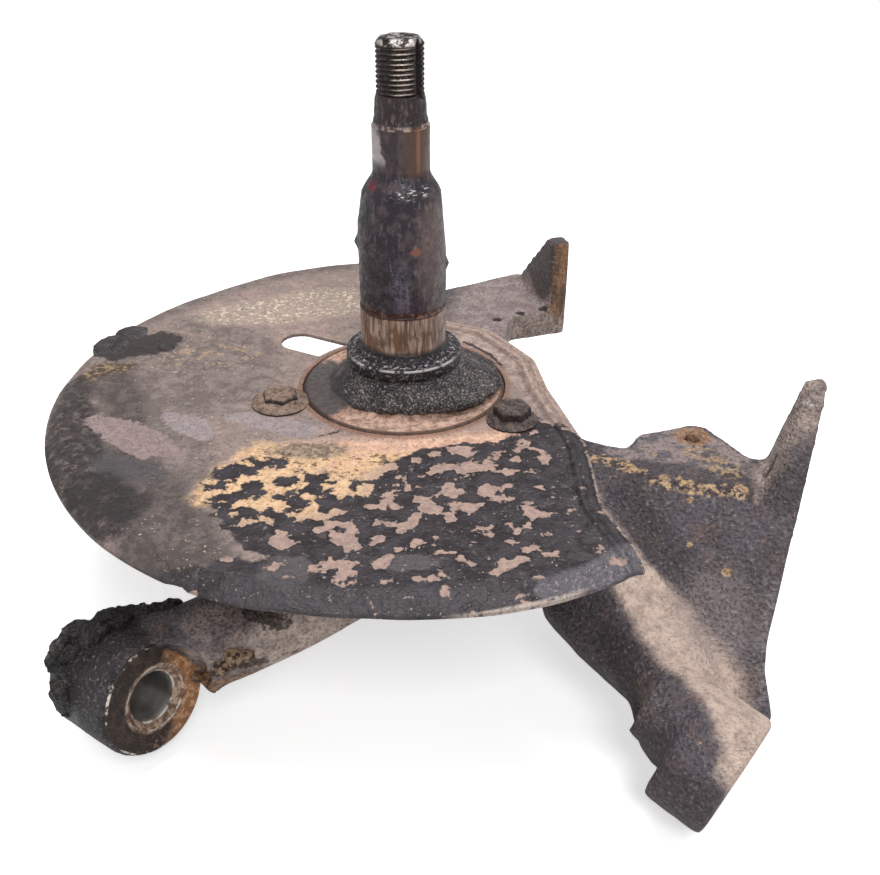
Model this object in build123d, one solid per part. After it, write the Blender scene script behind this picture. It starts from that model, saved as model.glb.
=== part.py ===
from build123d import *
import math
import os

# Steering knuckle with an integral spindle, its brake dust shield and the shield's screws.
# Millimetres. The origin is on the spindle axis, in the face of the hub flange. +Z runs out
# along the spindle towards the wheel. The steering arm points to -X -Y, the caliper sits to +X.

cast_rounding = 4.0          # of the forging's outlines
boss_edge = 1.0              # chamfer on both ball joint bosses

# ---- spindle, from the flange face outwards ----
flange_radius = 42.4
flange_edge = 1.0            # chamfer round the flange
flare_radius = 33.0          # foot of the cone between flange and seal land
flare_top_radius = 21.0
seal_land_radius = 23.8
seal_land_start = 12.0
seal_land_length = 5.2
seal_land_rounding = 1.2
inner_seat_radius = 17.46    # bore 34.93 mm of the inner taper roller bearing
inner_seat_start = 20.0
inner_seat_length = 17.2
seat_groove_depth = 0.6
seat_groove_length = 1.0
body_start_radius = 17.0
body_end_radius = 14.4
shoulder_z = 84.0
outer_seat_radius = 10.99    # bore 21.99 mm of the outer taper roller bearing
outer_seat_start = 90.0
outer_seat_length = 19.2
thread_radius = 9.0
thread_start = 120.0
thread_length = 17.0
tip_length = 3.0
tip_radius = 7.2
keyway_width = 3.6
keyway_depth = 2.0
keyway_angle = -38.0         # degrees round the spindle
pin_hole_radius = 2.1
pin_hole_from_tip = 5.5

# ---- hub boss behind the flange ----
hub_depth = 34.0
hub_radius = 46.0
hub_rounding = 5.0
hub_recess_radius = 22.0
hub_recess_depth = 9.0
spigot_height = 3.0          # the flange stands this far out of the shield's pads

# ---- dust shield ----
shield_radius = 146.4
shield_thickness = 1.5
shield_rim_width = 6.8
shield_rim_drop = 3.8
shield_lip_depth = 4.5
cut_rounding = 14.0
shield_hole_clearance = 1.8  # round the flange
slot_radius = 8.4
slot_centre = (-47.5, 43.3)
slot_angle = -30.0
slot_land = 4.6              # sheet left between the slot and the flange

# ---- shield screws ----
screw_angles = (194.4, -34.0, 80.0)
screw_shank_radius = 4.0
screw_length = 16.0
screw_flange_radius = 10.1
screw_flange_gap = 0.3       # between the screws' flanges and the hub flange
screw_flange_thickness = 1.8
screw_head_across = 14.0
screw_head_height = 5.6
screw_clearance = 0.1
screw_circle = flange_radius + screw_flange_gap + screw_flange_radius
pad_radius = 13.5
pad_depth = 20.0

# ---- steering arm and eye ----
eye_centre = Vector(-90.3, -119.2, -62.5)    # centre of the eye's outer face
eye_axis = Vector(0.771, -0.621, 0.14).normalized()
eye_radius = 22.4
eye_back_radius = 20.6
eye_length = 36.0
eye_edge = 1.5
spot_face_depth = 14.0       # how far the eye's machined face is cut into the arm beside it
eye_bore_radius = 9.4        # large end of the taper
eye_taper = 1 / 8            # on the diameter
eye_mouth_radius = 11.8
eye_mouth_depth = 2.0
arm_width = 34.0
arm_height = 26.0

# ---- ball joint bosses ----
upper_boss_face = Vector(109.3, -158.0, -67.2)
upper_boss_axis = Vector(0.75, -0.61, -0.25).normalized()
upper_boss_radius = 22.7
upper_boss_length = 22.4
neck_offset = 6.0            # the neck behind the boss is this much off its axis
neck_end_radius = 15.0
neck_length = 16.0
lower_boss_centre = Vector(-26.0, 110.0, -70.0)
lower_boss_axis = Vector(0.6, -0.78, -0.15).normalized()
lower_boss_radius = 20.0
lower_boss_length = 28.0
ball_bore_radius = 9.0
ball_taper = 1 / 8
lower_arm_width = 36.0
lower_arm_height = 24.0

# ---- caliper supports ----
ear_width = 9.6
ear_height = 37.4            # above the bracket
ear_top_depth = 9.0
caliper_angle = 15.0         # of both machined faces, in plan
ear_corner = Vector(76.6, 114.5, -20.0)
bracket_thickness = 14.5
prong_height = 46.0
prong_top = Vector(153.3, -43.0, 22.4)
prong_width = 8.2
prong_foot_reach = 13.6      # the foot spreads this far towards the hub
prong_foot_width = 6.6       # and this far the other way, both along the machined face
prong_depth = 7.0
prong_stock = 1.0            # cast metal machined off the prong's face
pad_hole_radius = 3.6
pad_hole_centre = (118.0, -28.0)
ledge_z = -12.0
ledge_thickness = 16.0
web_thickness = 16.0


def frustum(base, top):
    """Solid between two four-sided or many-sided outlines with as many corners each."""
    faces = [Face(Wire.make_polygon(outline, close=True)) for outline in (base, top)]
    return Solid.make_loft([face.outer_wire() for face in faces], ruled=True)


def cast_outline(corners):
    """Flat face with each corner rounded as a casting's is."""
    return make_face(FilletPolyline(corners, radius=cast_rounding, close=True))


def station(at, along, width, height, rounding):
    """Rounded cross-section of an arm at a point, square to the arm's run."""
    level = Vector(along.Y, -along.X, 0)
    plane = Plane(origin=at, x_dir=level, z_dir=along)
    return plane * RectangleRounded(width, height, rounding)


def taper_bore(mouth, axis, radius, length, taper):
    """Tapered hole cutter that starts at its mouth and runs against the axis."""
    end_radius = radius - length * taper / 2
    plane = Plane(origin=mouth, z_dir=axis * -1)
    return plane * Cone(radius, end_radius, length, align=(Align.CENTER, Align.CENTER, Align.MIN))


def spindle():
    """Turned spindle with its flange, as one revolved profile."""
    seal_end = seal_land_start + seal_land_length
    seat_end = inner_seat_start + inner_seat_length
    outer_end = outer_seat_start + outer_seat_length
    thread_end = thread_start + thread_length
    groove_end = seat_end + seat_groove_length
    corners = [
        (0, -hub_depth / 2),
        (flange_radius, -hub_depth / 2),
        (flange_radius, -flange_edge),
        (flange_radius - flange_edge, 0),
        (flare_radius, 0),
        (flare_top_radius, seal_land_start),
        (seal_land_radius, seal_land_start),
        (seal_land_radius, seal_end - seal_land_rounding),
        (seal_land_radius - seal_land_rounding, seal_end),
        (inner_seat_radius + 1.2, seal_end),
        (inner_seat_radius, inner_seat_start),
        (inner_seat_radius, seat_end),
        (inner_seat_radius - seat_groove_depth, seat_end),
        (inner_seat_radius - seat_groove_depth, groove_end),
        (body_start_radius, groove_end),
        (body_end_radius, shoulder_z),
        (outer_seat_radius, outer_seat_start),
        (outer_seat_radius, outer_end),
        (thread_radius, thread_start),
        (thread_radius, thread_end),
        (tip_radius, thread_end + tip_length),
        (0, thread_end + tip_length),
    ]
    profile = make_face(Polyline([(r, 0, z) for r, z in corners], close=True))
    turned = revolve(profile, Axis.Z)
    tip_z = thread_end + tip_length
    keyway = Pos(thread_radius, 0, (thread_start + tip_z) / 2) * Box(
        2 * keyway_depth, keyway_width, tip_z - thread_start + 2
    )
    pin_hole = Pos(0, 0, tip_z - pin_hole_from_tip) * Rot(90, 0, keyway_angle) * Cylinder(
        pin_hole_radius, 3 * thread_radius
    )
    return turned - Rot(0, 0, keyway_angle) * keyway - pin_hole


def hub():
    """Boss behind the flange, with a lobe and a threaded pad for each shield screw."""
    pad_top = -spigot_height
    body = Pos(0, 0, pad_top) * Cylinder(
        hub_radius, hub_depth - spigot_height, align=(Align.CENTER, Align.CENTER, Align.MAX)
    )
    body = fillet(body.edges().group_by(Axis.Z)[0], hub_rounding)
    for angle in screw_angles:
        centre = Vector(screw_circle, 0, 0).rotate(Axis.Z, angle)
        pad = Pos(centre.X, centre.Y) * Circle(pad_radius)
        outline = make_hull((Circle(hub_radius * 0.7) + pad).edges())
        lobe = Pos(0, 0, pad_top - pad_depth) * extrude(outline, pad_depth)
        body += lobe
    body -= Pos(0, 0, -hub_depth) * Cylinder(
        hub_recess_radius, 2 * hub_recess_depth
    )
    return body


def steering_arm():
    """Arm from the hub to the eye, and the eye's barrel with its taper bore."""
    middle = eye_centre - eye_axis * (eye_length / 2)
    run = [
        station(Vector(4, -14, -20), Vector(-0.35, -0.9, -0.2), 56, 30, 9),
        station(Vector(-13, -66, -31.5), Vector(-0.6, -0.75, -0.3), arm_width + 14, arm_height + 3, 9),
        station(Vector(-51, -94.4, -45), Vector(-0.88, -0.35, -0.32), arm_width + 1, arm_height + 1, 9),
        station(middle + Vector(6, 4, 5), Vector(-0.93, -0.2, -0.3), arm_width - 4, arm_height + 6, 9),
    ]
    arm = loft(run)
    front = Plane(origin=eye_centre, z_dir=eye_axis)
    arm -= front * Cylinder(
        eye_radius - eye_edge, spot_face_depth, align=(Align.CENTER, Align.CENTER, Align.MIN)
    )
    plane = Plane(origin=eye_centre, z_dir=eye_axis * -1)
    barrel = plane * Cone(
        eye_radius, eye_back_radius, eye_length, align=(Align.CENTER, Align.CENTER, Align.MIN)
    )
    barrel = chamfer(barrel.edges(), eye_edge)
    bore = taper_bore(eye_centre, eye_axis, eye_bore_radius, eye_length + 20, eye_taper)
    mouth = plane * Cone(
        eye_mouth_radius, eye_bore_radius - 0.2, eye_mouth_depth,
        align=(Align.CENTER, Align.CENTER, Align.MIN),
    )
    return arm, barrel, bore + mouth


def lower_arm():
    """Hidden arm from the hub to the lower ball joint's boss."""
    run = [
        station(Vector(0, 10, -20), Vector(-0.15, 0.95, -0.2), 56, 26, 8),
        station(Vector(-10, 56, -42), Vector(-0.2, 0.85, -0.5), lower_arm_width, lower_arm_height, 8),
        station(lower_boss_centre, Vector(-0.3, 0.85, -0.4), lower_arm_width - 6, lower_arm_height, 8),
    ]
    arm = loft(run)
    face = lower_boss_centre + lower_boss_axis * (lower_boss_length / 2)
    plane = Plane(origin=face, z_dir=lower_boss_axis * -1)
    boss = plane * Cylinder(
        lower_boss_radius, lower_boss_length, align=(Align.CENTER, Align.CENTER, Align.MIN)
    )
    boss = chamfer(boss.edges(), boss_edge)
    bore = taper_bore(face, lower_boss_axis, ball_bore_radius, lower_boss_length + 20, ball_taper)
    return arm, boss, bore


def ear_bracket():
    """Bracket to the back caliper support and the wedge-shaped ear on its end."""
    along = Vector(1, 0, 0).rotate(Axis.Z, caliper_angle)
    back = Vector(0, 1, 0).rotate(Axis.Z, caliper_angle)
    front_right = ear_corner + along * ear_width
    plan = [
        (-16, -10), (34, -14), (44, 40), (50, 84), (56, 108),
        (front_right.X, front_right.Y),
        (86, 160), (65, 168), (20, 144), (-8, 60),
    ]
    top = Pos(0, 0, ear_corner.Z) * make_face(Polyline(plan, close=True))
    plate = extrude(top, -bracket_thickness)
    plate = fillet(plate.edges().filter_by(Axis.Z).group_by(Axis.Y)[-1], 6)
    crest = Vector(0, 0, ear_height)
    base = [ear_corner, front_right, Vector(85, 158, ear_corner.Z), Vector(64, 162, ear_corner.Z)]
    rim = [
        ear_corner + crest,
        front_right + crest,
        front_right + crest + back * ear_top_depth,
        ear_corner + crest + back * ear_top_depth,
    ]
    return plate + frustum(base, rim)


def web():
    """Broad inclined web from the hub to the prong and the upper ball joint's boss."""
    slope = Plane(origin=(127, -67, -12), x_dir=(0.984, -0.098, 0.15), z_dir=(-0.18, -0.539, 0.823))
    outline = [
        (-42, 12), (0, 0), (15.9, -21), (7.2, -44), (1.6, -58), (-1, -69), (-1, -86),
        (-22, -104), (-43, -98), (-47.5, -90), (-49, -75), (-67, -56), (-78, -41), (-84, -8), (-60, 14),
    ]
    return slope * extrude(cast_outline(outline), -web_thickness)


def beam():
    """Ridge beam that runs over the web from the hub to the upper ball joint's boss."""
    run = [
        station(Vector(24, -26, -20), Vector(0.7, -0.6, -0.2), 44, 28, 8),
        station(Vector(67, -72, -34), Vector(0.55, -0.7, -0.45), 38, 28, 8),
        station(Vector(89, -112, -52), Vector(0.4, -0.75, -0.5), 31, 26, 8),
        station(Vector(101, -146, -65), Vector(0.35, -0.8, -0.45), 30, 28, 8),
    ]
    return loft(run)


def ledge():
    """Flat-topped lug beside the prong, with its screw hole, and its root to the hub."""
    plan = [
        (85, -53), (91, -33), (96, -25), (121, -16.6), (126, -20), (137.5, -43.5), (146, -46), (132, -67),
        (126, -69),
    ]
    lug = extrude(Pos(0, 0, ledge_z) * cast_outline(plan), -ledge_thickness)
    hole = Pos(pad_hole_centre[0], pad_hole_centre[1], ledge_z) * Cylinder(pad_hole_radius, 16)
    root_plan = [(20, 10), (60, -14), (76, -27), (90, -33), (100, -50), (96, -58), (60, -46), (10, -40)]
    root = extrude(Pos(0, 0, ledge_z - 1) * cast_outline(root_plan), -ledge_thickness)
    return lug + root, hole


def prong():
    """Caliper prong that stands up from the corner of the web."""
    along = Vector(1, 0, 0).rotate(Axis.Z, caliper_angle)
    back = Vector(0, 1, 0).rotate(Axis.Z, caliper_angle)
    top = [
        prong_top,
        prong_top + along * prong_width,
        prong_top + along * prong_width - back * prong_depth,
        prong_top - back * prong_depth,
    ]
    down = Vector(0, 0, -prong_height)
    base = [
        prong_top - along * prong_foot_reach + down,
        prong_top + along * prong_foot_width + down,
        Vector(143, -88, prong_top.Z) + down,
        Vector(132, -76, prong_top.Z) + down,
    ]
    spread = 2 * prong_height
    machined = Plane(origin=prong_top, x_dir=along, z_dir=back)
    behind = machined * Box(spread, spread, spread, align=(Align.CENTER, Align.CENTER, Align.MIN))
    rough = frustum([p + back * prong_stock for p in base], [p + back * prong_stock for p in top])
    return rough - behind


def upper_boss():
    """Boss for the upper ball joint, square to its own axis."""
    plane = Plane(origin=upper_boss_face, z_dir=upper_boss_axis * -1)
    boss = plane * Cylinder(
        upper_boss_radius, upper_boss_length, align=(Align.CENTER, Align.CENTER, Align.MIN)
    )
    boss = chamfer(boss.edges(), boss_edge)
    across = upper_boss_axis.cross(Vector(0.28, 0.63, -0.72)).normalized()
    neck_foot = upper_boss_face - upper_boss_axis * upper_boss_length + across * neck_offset
    neck = Plane(origin=neck_foot, x_dir=across, z_dir=upper_boss_axis * -1) * Cone(
        upper_boss_radius - neck_offset, neck_end_radius, neck_length,
        align=(Align.CENTER, Align.CENTER, Align.MIN),
    )
    bore = taper_bore(upper_boss_face, upper_boss_axis, ball_bore_radius, upper_boss_length + 20, ball_taper)
    return boss + neck, bore


def shield_outline():
    """Plan of the dust shield: a disc cut back on the caliper's side."""
    corners = [
        (86, -140), (72.2, -92), (73.6, -48), (61.8, -4), (58, 24), (41, 55), (6, 73), (-8, 92), (-12, 150),
    ]
    far = shield_radius + 20
    start, finish = corners[0], corners[-1]
    surround = Polyline(finish, (far, finish[1]), (far, start[1]), start)
    region = make_face([FilletPolyline(corners, radius=cut_rounding), surround])
    return Circle(shield_radius) - region, region


def shield():
    """Pressed sheet with a drooping rim, a lip along the cut-out, the slot and the screw holes."""
    top = -spigot_height + shield_thickness
    plan, region = shield_outline()
    crease = shield_radius - shield_rim_width
    reach = shield_radius + 1
    droop = shield_rim_drop * (reach - crease) / shield_rim_width
    section = Polyline(
        (0, 0, top), (crease, 0, top), (reach, 0, top - droop),
        (reach, 0, top - droop - shield_thickness), (crease, 0, top - shield_thickness),
        (0, 0, top - shield_thickness), close=True,
    )
    dish = revolve(make_face(section), Axis.Z)
    column = Pos(0, 0, top - 30) * extrude(plan, 60)
    sheet = dish & column
    lip_plan = offset(region, shield_thickness) - region
    lip_zone = Circle(crease - 1)
    lip = Pos(0, 0, top - shield_lip_depth) * extrude(lip_plan & lip_zone, shield_lip_depth)
    sheet += lip
    hole = Cylinder(flange_radius + shield_hole_clearance, 40)
    slot_run = Vector(40, 0).rotate(Axis.Z, slot_angle)
    slot = Pos(slot_centre[0] + slot_run.X / 2, slot_centre[1] + slot_run.Y / 2) * Rot(0, 0, slot_angle) * (
        SlotCenterToCenter(40, 2 * slot_radius)
    )
    slot -= Circle(flange_radius + slot_land)
    sheet -= hole
    sheet -= Pos(0, 0, -20) * extrude(slot, 40)
    for angle in screw_angles:
        centre = Vector(screw_circle, 0, 0).rotate(Axis.Z, angle)
        sheet -= Pos(centre.X, centre.Y) * Cylinder(screw_shank_radius + 0.5, 20)
    return sheet


def screw():
    """One flange-head screw, its flange's underside at z = 0."""
    flange = Pos(0, 0, screw_flange_thickness / 2) * Cylinder(screw_flange_radius, screw_flange_thickness)
    flange = chamfer(flange.edges().group_by(Axis.Z)[-1], screw_flange_thickness * 0.6)
    head = extrude(RegularPolygon(screw_head_across / 2, 6, major_radius=False), screw_head_height)
    shank = Pos(0, 0, -screw_length / 2) * Cylinder(screw_shank_radius, screw_length)
    return flange + Pos(0, 0, screw_flange_thickness) * head + shank


def knuckle():
    """The whole forging."""
    arm, barrel, eye_bore = steering_arm()
    low_arm, low_boss, low_bore = lower_arm()
    up_boss, up_bore = upper_boss()
    lug, lug_hole = ledge()
    body = spindle() + hub() + arm + barrel + low_arm + low_boss + ear_bracket()
    body += web()
    body += beam()
    body += lug
    body += prong()
    body += up_boss
    body -= eye_bore
    body -= low_bore
    body -= up_bore
    body -= lug_hole
    for angle in screw_angles:
        centre = Vector(screw_circle, 0, 0).rotate(Axis.Z, angle)
        body -= Pos(centre.X, centre.Y, -spigot_height) * Cylinder(
            screw_shank_radius + screw_clearance, 2 * (screw_length + 2)
        )
    return body


def screws():
    """The three shield screws in place, seated on the sheet."""
    seat = -spigot_height + shield_thickness
    placed = []
    for angle in screw_angles:
        centre = Vector(screw_circle, 0, 0).rotate(Axis.Z, angle)
        placed.append(Pos(centre.X, centre.Y, seat) * screw())
    return Compound(children=placed)


os.makedirs("parts", exist_ok=True)
export_step(knuckle(), "parts/knuckle.step")
export_step(shield(), "parts/dust_shield.step")
export_step(screws(), "parts/shield_bolts.step")
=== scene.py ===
"""Dresses a used steering knuckle: rough forging, machined spindle, rusty dust shield, grease.

Lengths are in metres in the row frame, and the classes' own sizes are in millimetres.
"""

import logging
import math
from contextlib import contextmanager
from dataclasses import dataclass, field
from enum import Enum
from functools import reduce
from typing import Callable, Iterator, Sequence

import bpy
from mathutils import Matrix, Vector, noise


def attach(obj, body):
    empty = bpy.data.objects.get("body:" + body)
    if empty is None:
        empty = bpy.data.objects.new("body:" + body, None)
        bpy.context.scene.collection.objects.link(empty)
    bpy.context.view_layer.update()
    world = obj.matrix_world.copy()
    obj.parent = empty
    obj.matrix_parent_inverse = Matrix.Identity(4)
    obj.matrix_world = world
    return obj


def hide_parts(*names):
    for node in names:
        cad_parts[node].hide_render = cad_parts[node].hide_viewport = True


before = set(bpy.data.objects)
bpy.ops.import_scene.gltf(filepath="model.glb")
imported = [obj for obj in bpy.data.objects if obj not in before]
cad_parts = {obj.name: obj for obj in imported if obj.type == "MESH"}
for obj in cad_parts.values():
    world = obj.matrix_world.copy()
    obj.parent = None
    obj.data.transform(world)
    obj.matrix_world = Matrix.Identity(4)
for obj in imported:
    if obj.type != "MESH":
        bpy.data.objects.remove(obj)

LOG = logging.getLogger("steering_knuckle")
MM = 0.001
# The steering eye, the shield and its screws, in millimetres.
EYE_CENTRE = (-90.3, -119.2, -62.5)
EYE_AXIS = (0.771, -0.621, 0.14)
SCREW_CIRCLE = 52.8
SCREW_ANGLES = (195.2, -35.6, 80)
SHEET_TOP = -1.5
WELD = 1e-06  # metres, within which doubles merge
Colour = tuple[float, float, float]
Point = tuple[float, float, float]
Stop = tuple[float, float, float, float]
Socket = bpy.types.NodeSocket


class Slot(Enum):
    """Material slots of the record."""

    FORGING = "forging"
    SHEET = "shield_sheet"
    BOLT = "bolt_steel"


class Node(Enum):
    """CAD nodes that the pieces stand for."""

    KNUCKLE = "knuckle"
    SHIELD = "dust_shield"
    BOLTS = "shield_bolts"


# ---------------------------------------------------------------- finishes


class Finish:
    """Builds one node material, with lengths in millimetres of Object coordinates."""

    def __init__(self, name: str, glint: float = 0.5) -> None:
        """Starts an empty material.

        Args:
            name: the material's name.
            glint: strength of its plain reflection.
        """
        self.material = bpy.data.materials.new(name)
        self.material.use_nodes = True
        self.tree = self.material.node_tree
        self.shader = self.tree.nodes["Principled BSDF"]
        self.shader.inputs["Specular IOR Level"].default_value = glint
        self.place = self.scaled(self.node("TexCoord", {}, "Object"), 1 / MM)
        self.base: object = (0, 0, 0)
        self.made: dict[tuple, Socket] = {}

    def link(self, value: object, socket: Socket) -> None:
        """Connects a socket, or sets a constant.

        Args:
            value: an output socket, a number, a vector or a colour.
            socket: the input that takes it.
        """
        if isinstance(value, Socket):
            self.tree.links.new(value, socket)
        else:
            socket.default_value = (*value, 1) if socket.type == "RGBA" else value

    def node(self, kind: str, inputs: dict, out: int | str = 0, **settings: str) -> Socket:
        """Adds one node.

        Args:
            kind: its type, without the word ShaderNode.
            inputs: what goes into each input, by name or number.
            out: the output wanted, by name or number.
            settings: its properties.

        Returns:
            The output's socket.
        """
        made = self.tree.nodes.new("ShaderNode" + kind)
        for name, value in settings.items():
            setattr(made, name, value)
        for key, value in inputs.items():
            self.link(value, made.inputs[key])
        return made.outputs[out]

    def math(self, how: str, first: object, second: object = 0) -> Socket:
        """The result of one Math node."""
        return self.node("Math", {0: first, 1: second}, operation=how)

    def vector(self, how: str, first: object, second: object = (0, 0, 0), out: str = "Vector") -> Socket:
        """The Vector or Value output of one Vector Math node."""
        return self.node("VectorMath", {0: first, 1: second}, out, operation=how)

    def scaled(self, vector: object, factor: object) -> Socket:
        """A vector times a number."""
        return self.node("VectorMath", {0: vector, "Scale": factor}, operation="SCALE")

    def stretched(self, shift: Point, scale: Point) -> Socket:
        """The place scaled along each axis, then moved in millimetres."""
        return self.node("Mapping", {"Vector": self.place, "Location": shift, "Scale": scale})

    def streak(
        self,
        size: float,
        detail: float,
        rough: float,
        scale: Point,
        twist: float = 0,
        shift: Point = (0, 0, 0),
    ) -> Socket:
        """Cloudy noise from 0 to 1, shared by all that ask for the same one.

        Args:
            size: blotch size in millimetres.
            detail: octaves.
            rough: how strong the fine octaves are.
            scale: squeezes the pattern along each axis.
            twist: distortion.
            shift: moves the pattern.

        Returns:
            The noise.
        """
        key = (size, rough, twist, shift, scale)
        if key not in self.made:
            place = self.stretched(shift, scale)
            inputs = {"Scale": 1 / size, "Detail": detail, "Roughness": rough, "Distortion": twist}
            self.made[key] = self.node("TexNoise", {**inputs, "Vector": place})
        return self.made[key]

    def grain(self, size: float, other: bool = False) -> Socket:
        """Plain noise of about one blotch size, or the other pattern of that size."""
        shift = (9, 4, 2) if other else (0, 0, 0)
        return self.streak(size, 2 if size < 2 else 3, 0.65, (1, 1, 1), shift=shift)

    def wobble(self, blotch: float) -> Socket:
        """Noise round zero that makes edges wander, shared by all masks of about one size."""
        size = 3.4 if blotch < 4.5 else 7 if blotch < 7.5 else 10
        return self.math("SUBTRACT", self.grain(size, True), 0.5)

    def step(self, value: object, low: float, high: float) -> Socket:
        """Smooth step.

        Args:
            value: the socket read.
            low: where the result is 0.
            high: where it is 1, above or below low.

        Returns:
            The step.
        """
        rises = low < high
        inputs = {"Value": value, "From Min": min(low, high), "From Max": max(low, high)}
        ends = {"To Min": 1 - rises, "To Max": int(rises)}
        return self.node("MapRange", {**inputs, **ends}, "Result", interpolation_type="SMOOTHSTEP")

    def cloud(self, size: float, low: float, high: float, other: bool = False) -> Socket:
        """Blotches: a smooth step of the plain noise."""
        return self.step(self.grain(size, other), low, high)

    def along(self, direction: Point) -> Socket:
        """The place measured along a direction, in millimetres."""
        return self.vector("DOT_PRODUCT", self.place, direction, "Value")

    def facing(self, direction: Point) -> Socket:
        """Cosine between the surface and a direction of the object."""
        return self.vector("DOT_PRODUCT", self.node("NewGeometry", {}, "Normal"), direction, "Value")

    def near(
        self, centre: Point, reach: Point, ragged: float = 0.3, soft: float = 0.25, blotch: float = 9
    ) -> Socket:
        """Ragged patch round a centre.

        Args:
            centre: middle of the patch in millimetres.
            reach: half its size along each axis.
            ragged: how uneven its edge is.
            soft: how wide its edge fades.
            blotch: size of the edge's waves.

        Returns:
            1 inside, 0 outside.
        """
        shift = tuple(-c / r for c, r in zip(centre, reach))
        away = self.vector("LENGTH", self.stretched(shift, tuple(1 / r for r in reach)), out="Value")
        wave = self.math("MULTIPLY", self.wobble(blotch), 4 * ragged)
        return self.step(self.math("ADD", away, wave), 1 + soft, 1 - soft)

    def strip(self, line: Sequence[Stop], soft: float = 2, ragged: float = 3, blotch: float = 6) -> Socket:
        """Ragged band along a broken line.

        Args:
            line: points in millimetres, each with the band's half width there.
            soft: width of the fading edge.
            ragged: how far the edge wanders.
            blotch: size of the edge's waves.

        Returns:
            1 inside, 0 outside.
        """
        least = None
        for (*a, ra), (*b, rb) in zip(line, line[1:]):
            run = Vector(b) - Vector(a)
            away = self.vector("SUBTRACT", self.place, a)
            share = self.vector("DOT_PRODUCT", away, run / run.length_squared, "Value")
            share = self.node("Clamp", {"Value": share})
            gap = self.vector("LENGTH", self.vector("SUBTRACT", away, self.scaled(run, share)), out="Value")
            gap = self.math("SUBTRACT", gap, self.math("ADD", self.both(share, rb - ra), ra))
            least = gap if least is None else self.math("MINIMUM", least, gap)
        wave = self.math("MULTIPLY", self.wobble(blotch), 2.5 * ragged)
        return self.step(self.math("ADD", least, wave), soft, -soft)

    def radius(self) -> Socket:
        """Distance from the spindle axis, in millimetres."""
        return self.vector("LENGTH", self.stretched((0, 0, 0), (1, 1, 0)), out="Value")

    def around(self) -> Socket:
        """Share of a turn round the spindle axis, from -0.5 to 0.5."""
        x, y = (self.node("SeparateXYZ", {0: self.place}, axis) for axis in (0, 1))
        return self.math("DIVIDE", self.math("ARCTAN2", y, x), 2 * math.pi)

    def stored(self, name: str) -> Socket:
        """A number that the mesh carries at each point."""
        return self.node("Attribute", {}, "Fac", attribute_name=name)

    def any_of(self, *masks: object) -> Socket:
        """The greatest of the masks at each point."""
        return reduce(lambda held, mask: self.math("MAXIMUM", held, mask), masks)

    def both(self, *masks: object) -> Socket:
        """The product of the masks at each point."""
        return reduce(lambda held, mask: self.math("MULTIPLY", held, mask), masks)

    def coat(self, under: object, over: object, mask: object) -> Socket:
        """One colour over another where a mask is 1."""
        return self.node("Mix", {0: mask, 6: under, 7: over}, 2, data_type="RGBA")

    def level(self, under: object, over: object, mask: object) -> Socket:
        """One number over another where a mask is 1."""
        return self.node("Mix", {0: mask, 2: under, 3: over})

    def lay(self, over: object, *masks: object) -> None:
        """Lays a colour on the base colour where all masks are 1."""
        self.base = self.coat(self.base, over, self.both(*masks))

    def mottled(
        self, under: object, over: object, size: float, low: float, high: float, other: bool = False
    ) -> Socket:
        """One colour with blotches of another."""
        return self.coat(under, over, self.cloud(size, low, high, other))

    def speckled(self, colour: Colour, size: float, amount: float) -> Socket:
        """A colour whose specks are darker or lighter by a share."""
        dark = tuple(c * (1 - amount) for c in colour)
        return self.mottled(dark, tuple(min(1, c * (1 + amount)) for c in colour), size, 0.3, 0.7)

    def finish(self, rough: object, metal: object, height: object, depth: float) -> bpy.types.Material:
        """Connects the shader to the base colour and the rest.

        Args:
            rough: roughness.
            metal: metallic.
            height: relief from 0 to 1.
            depth: the relief's depth in millimetres.

        Returns:
            The material.
        """
        bump = self.node("Bump", {"Strength": 1, "Distance": depth * MM, "Height": height})
        inputs = {"Base Color": self.base, "Roughness": rough, "Metallic": metal, "Normal": bump}
        for name, value in inputs.items():
            self.link(value, self.shader.inputs[name])
        return self.material


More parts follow.
